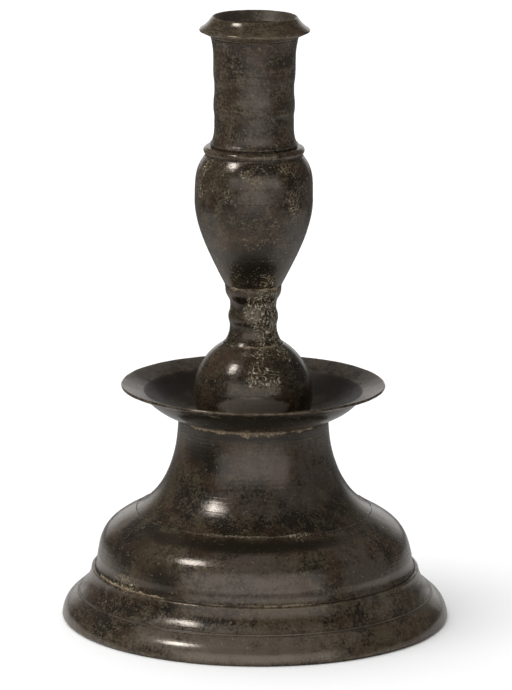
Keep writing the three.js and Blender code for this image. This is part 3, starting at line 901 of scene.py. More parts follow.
@dataclass(frozen=True)
class Palette:
    """The finishes of the castings, as the old skin has turned on each of them."""

    # The foot's pale tone carries painted sheen on the front of the ovolo.
    foot: Patina = Patina(
        "dark_foot_skin", ground=(0.062, 0.0465, 0.0275, 1), veil_and_sheen=(0.120, 0.098, 0.074, 1), coverage=0.35
    )
    bell: Patina = Patina("olive_bell_skin", ground=(0.058, 0.0435, 0.0245, 1), coverage=0.25, ring_depth=0.03 * MM)
    neck: Patina = Patina(
        "olive_neck_skin", ground=(0.053, 0.040, 0.0225, 1), coverage=0.15, lift_share=0.4, ring_depth=0.035 * MM
    )
    pan: Patina = Patina("dark_pan_skin", ground=(0.034, 0.024, 0.0155, 1), coverage=0.25, lift_share=0.35)
    # The knop's pale tone carries the painted pale reflection low on the dome.
    knop: Patina = Patina(
        "crusted_knop_skin", veil_and_sheen=(0.175, 0.147, 0.122, 1), crust=(0.56, 0.51, 0.40, 1), coverage=0.4,
        lift_share=0.35,
    )
    vase: Patina = Patina("speckled_vase_skin", coverage=1.0)
    socket: Patina = Patina("brown_socket_skin", ground=(0.048, 0.036, 0.0215, 1), lift_share=0.8, roughness=0.26)
    lip: Patina = Patina(
        "brown_lip_skin", shadow=(0.034, 0.025, 0.015, 1), ground=(0.106, 0.080, 0.047, 1), lift_share=0.35,
        coverage=0.3,
    )
    solder: DrySolder = DrySolder()


def dress(piece: bpy.types.Object, node: str, material: bpy.types.Material) -> bpy.types.Object:
    """Gives a piece its finish and says which node it stands for.

    Args:
        piece: The piece.
        node: The node of the frame that it replaces.
        material: Its finish.

    Returns:
        The piece.
    """
    piece.data.materials.append(material)
    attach(piece, "root")
    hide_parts(node)
    log.info("%s: %d faces, for %s", piece.name, len(piece.data.polygons), node)
    return piece


@dataclass
class Joint:
    """What the castings' joints share: the film of solder, the spigots and the seats."""

    spigot_depth: float = 1.6 * MM
    spigot_wall: float = 0.9 * MM
    clearance: float = 0.1 * MM
    seat_thickness: float = 1.8 * MM

    def spigot(self, inner: float, outer: float, level: float) -> HalfSection:
        """Starts a section at the foot of the spigot that drops into the piece below a level."""
        return HalfSection(inner, level - self.spigot_depth).to(outer, level - self.spigot_depth)


@dataclass
class Foot:
    """The moulded ring: an ovolo, a fine fillet, a cavetto and the ledge under the bell."""

    lathe: Lathe
    finish: bpy.types.Material
    edge_height: float = 1.0 * MM
    edge_roll: float = 0.8 * MM
    ovolo_width: float = 6.25 * MM
    ovolo_lean: float = 0.6 * MM
    ovolo_rise: float = 6.2 * MM
    fillet_height: float = 0.6 * MM
    fillet_step: float = 0.4 * MM
    cavetto_width: float = 4.8 * MM
    cavetto_height: float = 8.7 * MM
    cavetto_hollow: float = 0.9 * MM
    cavetto_rise: float = 3.3 * MM
    ledge_edge: float = 0.3 * MM
    wall: float = 3.0 * MM
    seat_thickness: float = 2.2 * MM
    bell_seat: float = 2.4 * MM

    def build(self) -> None:
        """Turns and dresses the foot ring."""
        radius, height = reach("foot_ring"), top("foot_ring")
        opening = reach("bell_body") - self.bell_seat
        ledge = radius - self.ovolo_width - self.fillet_step - self.cavetto_width
        cavetto_foot = height - self.ledge_edge - self.cavetto_height
        ovolo_top = cavetto_foot - self.fillet_height
        ovolo = [
            (radius, self.edge_height),
            (radius - self.ovolo_lean, self.edge_height + self.ovolo_rise),
            (radius - self.ovolo_width, ovolo_top),
        ]
        cavetto = [
            (ledge + self.cavetto_width, cavetto_foot),
            (ledge + self.cavetto_hollow, cavetto_foot + self.cavetto_rise),
            (ledge, height - self.ledge_edge),
        ]
        section = (
            HalfSection(radius - self.wall, 0)
            .to(radius - self.edge_roll, 0)
            .to(*ovolo[0])
            .curve(*ovolo[1:])
            .to(ovolo[2][0], cavetto_foot)
            .to(*cavetto[0])
            .curve(*cavetto[1:])
            .to(ledge - self.ledge_edge, height)
            .to(opening, height)
            .to(opening, height - self.seat_thickness)
            .lining(cavetto, self.wall, height - self.seat_thickness, 0)
            .lining(ovolo, self.wall, ovolo_top, 0)
        )
        # Besides the crust, these patches make the skin paler, as a pale film and as painted sheen, most on the front
        # of the ovolo.
        blooms = [
            Bloom(-62, 0.014, 0.010, 0.2), Bloom(-52, 0.0200, 0.003, 0.4, stretch=2),
            Bloom(-15, 0.005, 0.012, 0.3, Change.HAZE_AND_SHEEN, 2), Bloom(3, 0.0065, 0.009, 0.8, Change.HAZE_AND_SHEEN, 5),
            Bloom(48, 0.016, 0.006, 0.6, Change.HAZE_AND_SHEEN, 2.5), Bloom(-34, 0.007, 0.007, 0.7, Change.HAZE_AND_SHEEN, 2),
            Bloom(165, 0.006, 0.014, 0.5, Change.HAZE_AND_SHEEN, 2),
        ]
        dress(self.lathe.turn("foot", section, blooms), "foot_ring", self.finish)


@dataclass
class Bell:
    """The open bell and the neck that rises from it."""

    lathe: Lathe
    bell_finish: bpy.types.Material
    neck_finish: bpy.types.Material
    joint: Joint = field(default_factory=Joint)
    foot_flare: float = 1.0 * MM
    flare_height: float = 4.3 * MM
    flare_curve: float = 1.7 * MM
    side_lean: float = 1.7 * MM
    side_rise: float = 8.9 * MM
    shoulder_reach: float = 12.4 * MM
    shoulder_drop: float = 5.4 * MM
    bell_wall: float = 2.2 * MM
    foot_seat: float = 2.4 * MM
    top_seat: float = 3.5 * MM
    neck_reach: float = 11.5 * MM
    neck_rise: float = 6.6 * MM
    neck_upright: float = 15.0 * MM
    neck_wall: float = 2.0 * MM
    pan_seat: float = 2.4 * MM
    closing: float = 0.13 * MM

    def build_bell(self) -> None:
        """Turns and dresses the bell."""
        level, crown = top("solder_foot_to_bell"), top("bell_body")
        foot, head = reach("bell_body"), reach("bell_neck")
        side = (foot - self.foot_flare, level + self.flare_height)
        shoulder = [
            side,
            (side[0] - self.side_lean, side[1] + self.side_rise),
            (head + self.shoulder_reach, crown - self.shoulder_drop),
            (head, crown),
        ]
        spigot = foot - self.foot_seat - self.joint.clearance
        opening = head - self.top_seat
        section = (
            self.joint.spigot(spigot - self.joint.spigot_wall, spigot, level)
            .to(spigot, level)
            .to(foot, level)
            .curve((side[0], level + self.flare_curve), side)
            .curve(*shoulder[1:])
            .meet(head, crown + self.closing)
            .to(opening, crown + self.closing)
            .to(opening, crown - self.joint.seat_thickness)
            .lining(shoulder, self.bell_wall, crown - self.joint.seat_thickness, level + self.joint.seat_thickness)
        )
        # Crust on the ledge side and the shoulder. The paler patches are a pale film and painted sheen on the front
        # and right; the darker band at 39.8 mm is painted shade under the ridge at the neck's foot, and the two on the
        # left are darker patches.
        blooms = [
            Bloom(-60, 0.0400, 0.003, 0.3), Bloom(-54, 0.0220, 0.004, 0.7, stretch=2.5),
            Bloom(22, 0.0425, 0.0025, 0.6, stretch=2),
            Bloom(-5, 0.028, 0.011, 0.6, Change.HAZE_AND_SHEEN, 3), Bloom(-58, 0.033, 0.014, 0.45, Change.STAIN_AND_SHADE, 1.5),
            Bloom(150, 0.032, 0.012, 0.5, Change.HAZE_AND_SHEEN, 2), Bloom(42, 0.039, 0.006, 0.5, Change.HAZE_AND_SHEEN, 3),
            Bloom(2, 0.036, 0.006, 0.4, Change.HAZE_AND_SHEEN, 4), Bloom(-36, 0.026, 0.008, 0.6, Change.STAIN_AND_SHADE, 1.4),
            Bloom(0, 0.0398, 0.0027, 0.75, Change.STAIN_AND_SHADE, 20), Bloom(46, 0.027, 0.011, 0.9, Change.HAZE_AND_SHEEN, 1.6),
        ]
        dress(self.lathe.turn("bell", section, blooms), "bell_body", self.bell_finish)

    def build_neck(self) -> None:
        """Turns and dresses the neck."""
        level, crown = top("solder_bell_to_neck"), top("bell_neck")
        foot, head = reach("bell_neck"), joint_radius("solder_neck_to_pan")
        flank = [
            (foot, level),
            (foot - self.neck_reach, level + self.neck_rise),
            (head, crown - self.neck_upright),
            (head, crown),
        ]
        spigot = foot - self.top_seat - self.joint.clearance
        opening = head - self.pan_seat
        section = (
            self.joint.spigot(spigot - self.joint.spigot_wall, spigot, level)
            .to(spigot, level - self.closing)
            .meet(foot, level - self.closing)
            .to(*flank[0])
            .curve(*flank[1:])
            .to(opening, crown)
            .to(opening, crown - self.joint.seat_thickness)
            .lining(flank, self.neck_wall, crown - self.joint.seat_thickness, level)
        )
        # Crust under the pan. The darker band at 80 mm is painted shade under the pan, the darker patch on the left a
        # painted dark reflection, and the paler patches are a pale film and painted sheen.
        blooms = [
            Bloom(3, 0.0785, 0.004, 0.45), Bloom(-30, 0.0785, 0.003, 0.35),
            Bloom(0, 0.080, 0.006, 1.0, Change.STAIN_AND_SHADE, 40), Bloom(4, 0.068, 0.010, 0.6, Change.HAZE_AND_SHEEN, 1.4),
            Bloom(50, 0.063, 0.016, 0.7, Change.HAZE_AND_SHEEN, 1.2), Bloom(12, 0.053, 0.007, 0.6, Change.HAZE_AND_SHEEN, 4),
            Bloom(-44, 0.070, 0.008, 0.6, Change.STAIN_AND_SHADE, 1.3), Bloom(200, 0.066, 0.012, 0.5, Change.HAZE_AND_SHEEN, 1.5),
        ]
        dress(self.lathe.turn("neck", section, blooms), "bell_neck", self.neck_finish)


@dataclass
class Pan:
    """The drip pan: a deep well with a narrow sloping flange."""

    lathe: Lathe
    finish: bpy.types.Material
    joint: Joint = field(default_factory=Joint)
    rim_thickness: float = 1.0 * MM
    rim_rounding: float = 0.4 * MM
    flange_width: float = 8.6 * MM
    flange_rise: float = 2.7 * MM
    flange_thickness: float = 1.5 * MM
    seat_width: float = 2.4 * MM
    floor_thickness: float = 1.7 * MM
    floor_margin: float = 1.5 * MM
    hole_inset: float = 2.45 * MM
    well_slope: float = 6.6 * MM
    well_drop: float = 2.0 * MM
    underside_slope: float = 4.2 * MM
    underside_drop: float = 2.9 * MM

    def build(self) -> None:
        """Turns and dresses the pan."""
        level, rim, radius = top("solder_neck_to_pan"), top("drip_pan"), reach("drip_pan")
        neck = joint_radius("solder_neck_to_pan")
        hole = reach("solder_pan_to_dome") - self.hole_inset
        flange = radius - self.flange_width
        well_top = rim - self.flange_rise
        floor = level + self.floor_thickness
        spigot = neck - self.seat_width - self.joint.clearance
        inside = spigot - self.joint.spigot_wall
        section = (
            self.joint.spigot(inside, spigot, level)
            .to(spigot, level)
            .to(neck, level)
            .curve((flange - self.underside_slope, level + self.underside_drop),
                   (flange, well_top - self.flange_thickness))
            .to(radius, rim - self.rim_thickness)
            .to(radius, rim - self.rim_rounding)
            .to(radius - self.rim_rounding, rim)
            .to(flange, well_top)
            .curve((flange - self.well_slope, floor + self.well_drop), (neck - self.floor_margin, floor))
            .to(hole, floor)
            .to(hole, level)
            .to(inside, level)
        )
        # Crust on the flange. The paler band is painted sheen on the flange, most at the back, and the darker band all
        # round is painted shade in the well round the dome and under the pan.
        blooms = [
            Bloom(-52, 0.0905, 0.005, 0.5), Bloom(-20, 0.090, 0.004, 0.4),
            Bloom(180, 0.092, 0.003, 0.8, Change.HAZE_AND_SHEEN, 45), Bloom(0, 0.0860, 0.0040, 1.1, Change.STAIN_AND_SHADE, 60),
        ]
        dress(self.lathe.turn("pan", section, blooms), "drip_pan", self.finish)


@dataclass
class Knops:
    """The round knop that stands in the pan and the small waisted one above it."""

    lathe: Lathe
    finish: bpy.types.Material
    joint: Joint = field(default_factory=Joint)
    dome_radius: float = 22.9 * MM
    dome_centre: float = 7.3 * MM
    dome_wall: float = 2.3 * MM
    dome_crown: float = 1.0 * MM
    dome_bore: float = 18.5 * MM
    waist_lower: float = 9.0 * MM
    waist_bead: float = 9.5 * MM
    waist_upper: float = 8.7 * MM
    waist_top: float = 10.75 * MM
    foot_height: float = 6.6 * MM
    foot_curve: float = 3.1 * MM
    bead_rise: float = 3.5 * MM
    bead_fall: float = 4.5 * MM
    band_height: float = 0.8 * MM
    waist_spigot: float = 7.9 * MM
    waist_bore: float = 6.2 * MM

    def build_dome(self) -> None:
        """Turns and dresses the round knop."""
        level, crown = top("solder_pan_to_dome"), top("dome_knop")
        centre = level + self.dome_centre
        opening = self.waist_spigot + self.joint.clearance
        inside = self.dome_radius - self.dome_wall
        foot = math.degrees(-math.asin(self.dome_centre / self.dome_radius))
        head = math.degrees(math.asin((crown - centre) / self.dome_radius))
        ceiling = math.degrees(math.acos(opening / inside))
        spigot = self.dome_bore + self.joint.spigot_wall
        section = (
            self.joint.spigot(self.dome_bore, spigot, level)
            .to(spigot, level)
            .arc((0, centre), self.dome_radius, foot, head)
            .to(opening, crown)
            .arc((0, centre - self.dome_crown), inside, ceiling, 0)
            .to(self.dome_bore, level)
        )
        # Crust on the dome. The paler patch low on the front is a painted pale reflection.
        blooms = [
            Bloom(12, 0.1070, 0.0035, 0.7, stretch=1.5), Bloom(50, 0.1060, 0.0040, 0.7),
            Bloom(8, 0.0990, 0.0060, 0.8), Bloom(20, 0.0965, 0.0060, 0.9), Bloom(1, 0.0975, 0.0040, 0.6),
            Bloom(68, 0.0985, 0.0040, 0.4), Bloom(120, 0.098, 0.008, 0.6),
            Bloom(205, 0.101, 0.009, 0.6), Bloom(0, 0.0872, 0.0045, 2.2, Change.HAZE_AND_SHEEN, 3.5),
        ]
        dress(self.lathe.turn("dome", section, blooms), "dome_knop", self.finish)

    def build_waist(self) -> None:
        """Turns and dresses the waisted knop."""
        level, crown = top("solder_dome_to_waist"), top("waist_knop")
        foot = reach("waist_knop")
        bead = level + self.foot_height + self.bead_rise
        section = (
            self.joint.spigot(self.waist_bore, self.waist_spigot, level)
            .to(self.waist_spigot, level)
            .to(foot, level)
            .curve((self.waist_lower, level + self.foot_curve), (self.waist_lower, level + self.foot_height))
            .ogee(self.waist_bead, bead)
            .ogee(self.waist_upper, bead + self.bead_fall)
            .ogee(self.waist_top, crown - self.band_height)
            .to(self.waist_top, crown)
            .to(self.waist_bore, crown)
        )
        # Crust round the knop. The paler patch on the front is painted sheen and the darker one on the left a painted
        # dark reflection.
        blooms = [
            Bloom(35, 0.126, 0.010, 1.2), Bloom(14, 0.1205, 0.0070, 0.9), Bloom(60, 0.119, 0.007, 0.8),
            Bloom(42, 0.112, 0.008, 0.9), Bloom(160, 0.118, 0.009, 0.8), Bloom(255, 0.123, 0.007, 0.6),
            Bloom(6, 0.1212, 0.005, 0.6, Change.HAZE_AND_SHEEN), Bloom(-25, 0.1245, 0.004, 0.9, Change.STAIN_AND_SHADE),
        ]
        dress(self.lathe.turn("waist", section, blooms), "waist_knop", self.finish)


@dataclass
class Vase:
    """The hollow vase, cast in two halves, with the lower collar ring on its shoulder."""

    lathe: Lathe
    finish: bpy.types.Material
    joint: Joint = field(default_factory=Joint)
    foot: float = 10.75 * MM
    bore: float = 5.2 * MM
    spread: float = 4.4 * MM
    rise: float = 8.9 * MM
    fullness: float = 0.75 * MM
    upright: float = 12.0 * MM
    wall: float = 2.3 * MM
    belly_seat: float = 2.5 * MM
    floor_height: float = 2.6 * MM
    upper_height: float = 14.9 * MM
    upper_upright: float = 7.7 * MM
    shoulder_inset: float = 3.7 * MM
    shoulder_reach: float = 3.3 * MM
    shoulder_drop: float = 4.7 * MM
    groove_depth: float = 0.3 * MM
    groove_height: float = 0.7 * MM
    ring_radius: float = 19.35 * MM
    ring_rounding: float = 1.45 * MM
    ring_opening: float = 12.0 * MM
    seat_radius: float = 16.4 * MM
    plate: float = 2.6 * MM
    closing: float = 0.14 * MM

    def build_lower(self) -> None:
        """Turns and dresses the lower half."""
        level, crown = top("solder_waist_to_baluster"), top("baluster_lower")
        belly = reach("baluster_lower")
        flank = [
            (self.foot, level),
            (self.foot + self.spread, level + self.rise),
            (belly + self.fullness, crown - self.upright),
            (belly, crown),
        ]
        opening, spigot = belly - self.belly_seat, self.bore + self.joint.spigot_wall
        section = (
            self.joint.spigot(self.bore, spigot, level)
            .to(spigot, level)
            .to(*flank[0])
            .curve(*flank[1:])
            .meet(belly, crown + self.closing)
            .to(opening, crown + self.closing)
            .to(opening, crown - self.joint.seat_thickness)
            .lining(flank, self.wall, crown - self.joint.seat_thickness, level + self.floor_height)
            .to(self.bore, level + self.floor_height)
        )
        # Crust on the belly. The darker patch low on the front is a painted dark reflection.
        blooms = [
            Bloom(43, 0.163, 0.004, 0.6), Bloom(55, 0.150, 0.006, 0.3), Bloom(28, 0.134, 0.0045, 0.9),
            Bloom(150, 0.158, 0.009, 0.4), Bloom(230, 0.146, 0.008, 0.4),
            Bloom(0, 0.141, 0.011, 0.75, Change.STAIN_AND_SHADE, 1.6),
        ]
        dress(self.lathe.turn("vase_lower", section, blooms), "baluster_lower", self.finish)

    def build_upper(self) -> None:
        """Turns and dresses the upper half and its collar ring."""
        level, crown = top("solder_baluster_halves"), top("baluster_upper")
        belly = reach("baluster_upper")
        shoulder_top = (belly - self.shoulder_inset, level + self.upper_height)
        flank = [
            (belly, level),
            (belly, level + self.upper_upright),
            (shoulder_top[0] + self.shoulder_reach, shoulder_top[1] - self.shoulder_drop),
            shoulder_top,
        ]
        ring = (self.ring_radius - self.ring_rounding, shoulder_top[1] + self.groove_height + self.ring_rounding)
        spigot = belly - self.belly_seat - self.joint.clearance
        section = (
            self.joint.spigot(spigot - self.joint.spigot_wall, spigot, level)
            .to(spigot, level - self.closing)
            .meet(belly, level - self.closing)
            .to(*flank[0])
            .curve(*flank[1:])
            .to(shoulder_top[0] - self.groove_depth, shoulder_top[1] + self.groove_height / 2)
            .arc(ring, self.ring_rounding, -60, 90)
            .to(self.seat_radius, crown)
            .to(self.ring_opening, crown)
            .to(self.ring_opening, crown - self.plate)
            .lining(flank, self.wall, crown - self.plate, level + self.joint.seat_thickness)
        )
        # Crust on the shoulder. The paler patches are a pale film and painted sheen, most on the front.
        blooms = [
            Bloom(-58, 0.1780, 0.005, 0.6), Bloom(-9, 0.1765, 0.0025, 0.9), Bloom(-27, 0.168, 0.004, 0.5),
            Bloom(-62, 0.169, 0.005, 0.5), Bloom(41, 0.167, 0.005, 0.6), Bloom(34, 0.179, 0.004, 0.6),
            Bloom(3, 0.174, 0.006, 0.4),
            Bloom(100, 0.174, 0.008, 0.35), Bloom(190, 0.171, 0.009, 0.4),
            Bloom(10, 0.170, 0.012, 0.6, Change.HAZE_AND_SHEEN), Bloom(215, 0.168, 0.013, 0.5, Change.HAZE_AND_SHEEN),
        ]
        dress(self.lathe.turn("vase_upper", section, blooms), "baluster_upper", self.finish)


@dataclass
class Socket:
    """The candle socket: a tube with two faint bands, a flanged lip and the seat inside."""

    lathe: Lathe
    finish: bpy.types.Material
    lip_finish: bpy.types.Material
    joint: Joint = field(default_factory=Joint)
    bore: float = 13.0 * MM
    foot_bore: float = 11.0 * MM
    tube: float = 15.2 * MM
    ring_height: float = 0.7 * MM
    ring_shoulder: float = 0.2 * MM
    flare_curve: float = 0.9 * MM
    flare_height: float = 7.0 * MM
    lower_band: float = 0.35 * MM
    upper_band: float = 0.5 * MM
    band_levels: tuple[float, ...] = (11.0 * MM, 14.6 * MM, 22.0 * MM, 29.2 * MM)
    scribe_depth: float = 0.09 * MM
    scribe_levels: tuple[float, ...] = (14.9 * MM, 28.6 * MM, 30.4 * MM)
    scribe_lead: float = 0.05 * MM
    top_flare: float = 0.9 * MM
    top_flare_height: float = 6.5 * MM
    seat_height: float = 2.2 * MM
    lip_edge: float = 2.6 * MM
    lip_rounding: float = 0.6 * MM
    edge_gain: float = 0.036 * MM
    undercut: float = 0.4 * MM
    crest: float = 15.9 * MM
    crest_rounding: float = 0.5 * MM
    hollow_width: float = 2.4 * MM
    hollow_drop: float = 2.2 * MM
    funnel: float = 3.8 * MM
    lip_socket: float = 2.0 * MM
    joint_gap: float = 0.3 * MM
    closing: float = 0.13 * MM

    def scribed(self, section: HalfSection, radius: float, height: float) -> HalfSection:
        """Cuts a fine line round the tube and returns the section."""
        depth = self.scribe_depth
        return section.to(radius, height - depth).to(radius - depth, height).to(radius, height + depth)

    def build_tube(self) -> None:
        """Turns and dresses the tube with its collar ring."""
        level, crown = top("solder_baluster_to_socket"), top("solder_socket_to_lip")
        crown -= self.joint_gap
        ring = reach("socket_tube")
        band_foot, band_peak, band_end, band_top = (level + rise for rise in self.band_levels)
        lines = [level + rise for rise in self.scribe_levels]
        wide = self.tube + self.upper_band
        flare_foot = crown - self.top_flare_height
        rebate, spigot = self.bore + self.joint.spigot_wall, self.foot_bore + self.joint.spigot_wall
        section = (
            self.joint.spigot(self.foot_bore, spigot, level)
            .to(spigot, level)
            .to(ring - self.ring_shoulder, level)
            .to(ring, level + self.ring_height / 2)
            .to(ring, level + self.ring_height)
            .curve((self.tube, level + self.ring_height + self.flare_curve),
                   (self.tube, level + self.ring_height + self.flare_height))
            .to(self.tube, band_foot)
            .ogee(self.tube + self.lower_band, band_peak)
        )
        self.scribed(section, self.tube + self.lower_band, lines[0])
        section.ogee(self.tube, band_end)
        section.ogee(wide - self.scribe_lead, lines[1] - self.scribe_depth)
        self.scribed(section, wide, lines[1])
        self.scribed(section, wide, lines[2])
        (
            section.to(wide, max(flare_foot, band_top))
            .curve((wide, flare_foot + self.top_flare_height / 3), (wide + self.top_flare, crown))
            .meet(wide + self.top_flare, crown + self.closing)
            .to(rebate, crown + self.closing)
            .to(rebate, crown + self.joint.spigot_depth)
            .to(self.bore, crown + self.joint.spigot_depth)
            .to(self.bore, level + self.seat_height)
            .to(self.foot_bore, level + self.seat_height)
        )
        # The paler patches are painted sheen down the front and a paler back; the others are crust.
        blooms = [
            Bloom(2, 0.2050, 0.010, 0.6, Change.HAZE_AND_SHEEN, 0.8), Bloom(8, 0.1920, 0.009, 0.5, Change.HAZE_AND_SHEEN, 0.8),
            Bloom(10, 0.2230, 0.004, 0.35), Bloom(-30, 0.1860, 0.005, 0.3), Bloom(45, 0.1880, 0.006, 0.3),
            Bloom(190, 0.2060, 0.014, 0.5, Change.HAZE_AND_SHEEN), Bloom(150, 0.1900, 0.006, 0.35),
        ]
        dress(self.lathe.turn("tube", section, blooms), "socket_tube", self.finish)

    def build_lip(self) -> None:
        """Turns and dresses the flanged lip."""
        level, crown = top("solder_socket_to_lip"), top("socket_lip")
        radius = reach("socket_lip") + self.edge_gain
        tube = self.tube + self.upper_band + self.top_flare
        centre = (radius - self.lip_rounding, level + self.lip_edge)
        inside = self.bore + self.joint.spigot_wall + self.joint.clearance
        hollow_top = (self.crest + self.crest_rounding, crown - self.crest_rounding)
        section = (
            HalfSection(inside, level - self.closing)
            .meet(tube, level - self.closing)
            .to(tube + self.undercut, level + self.undercut)
            .arc(centre, self.lip_rounding, -60, 60)
            .curve((hollow_top[0] + self.hollow_width / 2, hollow_top[1] - self.hollow_drop), hollow_top)
            .to(self.crest, crown)
            .to(self.crest - self.crest_rounding, crown - self.crest_rounding)
            .to(self.bore, crown - self.funnel)
            .to(self.bore, level + self.lip_socket)
            .to(inside, level + self.lip_socket)
        )
        # Crust round the mouth. The darker patch is painted shade on the far inside of the mouth.
        blooms = [
            Bloom(180, 0.2325, 0.0040, 0.3, stretch=8), Bloom(180, 0.2310, 0.0065, 0.7, Change.STAIN_AND_SHADE, 6),
            Bloom(35, 0.2290, 0.0030, 0.3),
        ]
        dress(self.lathe.turn("lip", section, blooms), "socket_lip", self.lip_finish)

    def build_seat(self) -> None:
        """Turns and dresses the plate that the candle stands on."""
        low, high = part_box("candle_seat")
        section = HalfSection(0, low.z).to(high.x, low.z).to(high.x, high.z).to(0, high.z)
        dress(self.lathe.turn("candle_plate", section), "candle_seat", self.finish)


@dataclass
class Seam:
    """A soldered joint: a film between two seats, and what has come out of it.

    Args:
        node: The film's node in the frame.
        look: How the joint shows from outside.
        radius: Radius at which the film comes out of the joint.
        bead: How far the solder stands out of the joint.
        crusts: Bearing, half width in degrees and height in millimetres of each stretch of crust.
        gaps: Bearing and half width of each stretch where the solder has fallen out.
        steps: Divisions round the seam.
        bead_points: Points across the bead.
        fill: How far the bead climbs over the eased corners beside it.
        sunk: How far it is sunk where the solder has gone.
    """

    HIDDEN_INSET = 0.2 * MM
    COARSE_SIZE = 3.1 * MM
    FINE_SIZE = 1.05 * MM
    COARSE_SHIFT = Vector((0, 0, 9))
    CLIMB_SIZE = 0.25 * MM
    FULL_CRUST = 0.3 * MM
    GAP_STEEPNESS = 4
    LEAST_SWELLING = 0.25

    node: str
    look: SeamLook
    radius: float
    bead: float = 0.25 * MM
    crusts: tuple[tuple[float, float, float], ...] = ()
    gaps: tuple[tuple[float, float], ...] = ()
    steps: int = 640
    bead_points: int = 9
    fill: float = 0.22 * MM
    sunk: float = 0.9 * MM

    def build(self, lathe: Lathe, material: bpy.types.Material) -> None:
        """Makes and dresses the seam.

        Args:
            lathe: The lathe whose settling the seam follows.
            material: Its finish.
        """
        low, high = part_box(self.node)
        inside = self.inner_radius()
        middle, half = (low.z + high.z) / 2, (high.z - low.z) / 2
        mesh = bmesh.new()
        crust_layer = mesh.verts.layers.float.new("crust")
        shown = self.look is not SeamLook.HIDDEN
        edge = self.radius if shown else self.radius - self.HIDDEN_INSET
        outline = [(inside, middle - half), (edge - self.bead / 2, middle - half)]
        for step in range(self.bead_points):
            angle = math.pi * (step / (self.bead_points - 1) - 0.5)
            filled = middle + (half + self.fill * shown) * math.sin(angle)
            outline.append((edge + self.bead * math.cos(angle) * shown, filled))
        outline += [(edge - self.bead / 2, middle + half), (inside, middle + half)]
        rail = [mesh.verts.new((r, 0.0, z)) for r, z in outline]
        spin_rail(mesh, rail, self.steps if shown else lathe.steps)
        for vert in mesh.verts:
            if shown and math.hypot(vert.co.x, vert.co.y) > edge - self.bead / 4:
                vert[crust_layer] = self.swell(vert, edge, middle)
            vert.co += lathe.stray(vert.co)
            vert.co.x += lathe.settling.shift(vert.co.z)
        dress(finished(self.node.replace("solder_", "seam_"), mesh), self.node, material)

    def inner_radius(self) -> float:
        """The film's inner radius, read from its node."""
        return min(math.hypot(v.co.x, v.co.y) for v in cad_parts[self.node].data.vertices)

    def swell(self, vert: bmesh.types.BMVert, edge: float, middle: float) -> float:
        """Grows crust on a point of the bead, or sinks it where the solder has gone.

        Args:
            vert: The point, which is moved.
            edge: Radius of the joint.
            middle: Height of the joint.

        Returns:
            How much crust there is, from 0 to 1.
        """
        bearing = bearing_of(vert.co)
        grown = lost = 0.0
        for centre, width, height in self.crusts:
            away = apart(bearing, centre) / width
            grown += height * MM * max(0.0, 1 - away * away)
        for centre, width in self.gaps:
            away = abs(apart(bearing, centre)) / width
            lost = max(lost, min(1.0, self.GAP_STEEPNESS * max(0.0, 1 - away)))
        coarse = noise.noise(vert.co / self.COARSE_SIZE + self.COARSE_SHIFT)
        fine = noise.noise(vert.co / self.FINE_SIZE)
        swelling = max(self.LEAST_SWELLING, 1 + 0.7 * coarse + 0.5 * fine) * (1 - lost)
        radius = math.hypot(vert.co.x, vert.co.y)
        outward = (radius - edge) * swelling + grown * max(0.0, 0.6 + coarse + 0.8 * fine) - lost * self.sunk
        upward = (vert.co.z - middle) * (swelling + grown / self.CLIMB_SIZE * max(0.0, 0.5 + fine + coarse))
        scale = (edge + outward) / radius
        vert.co = Vector((vert.co.x * scale, vert.co.y * scale, middle + upward))
        return min(1.0, grown / self.FULL_CRUST)


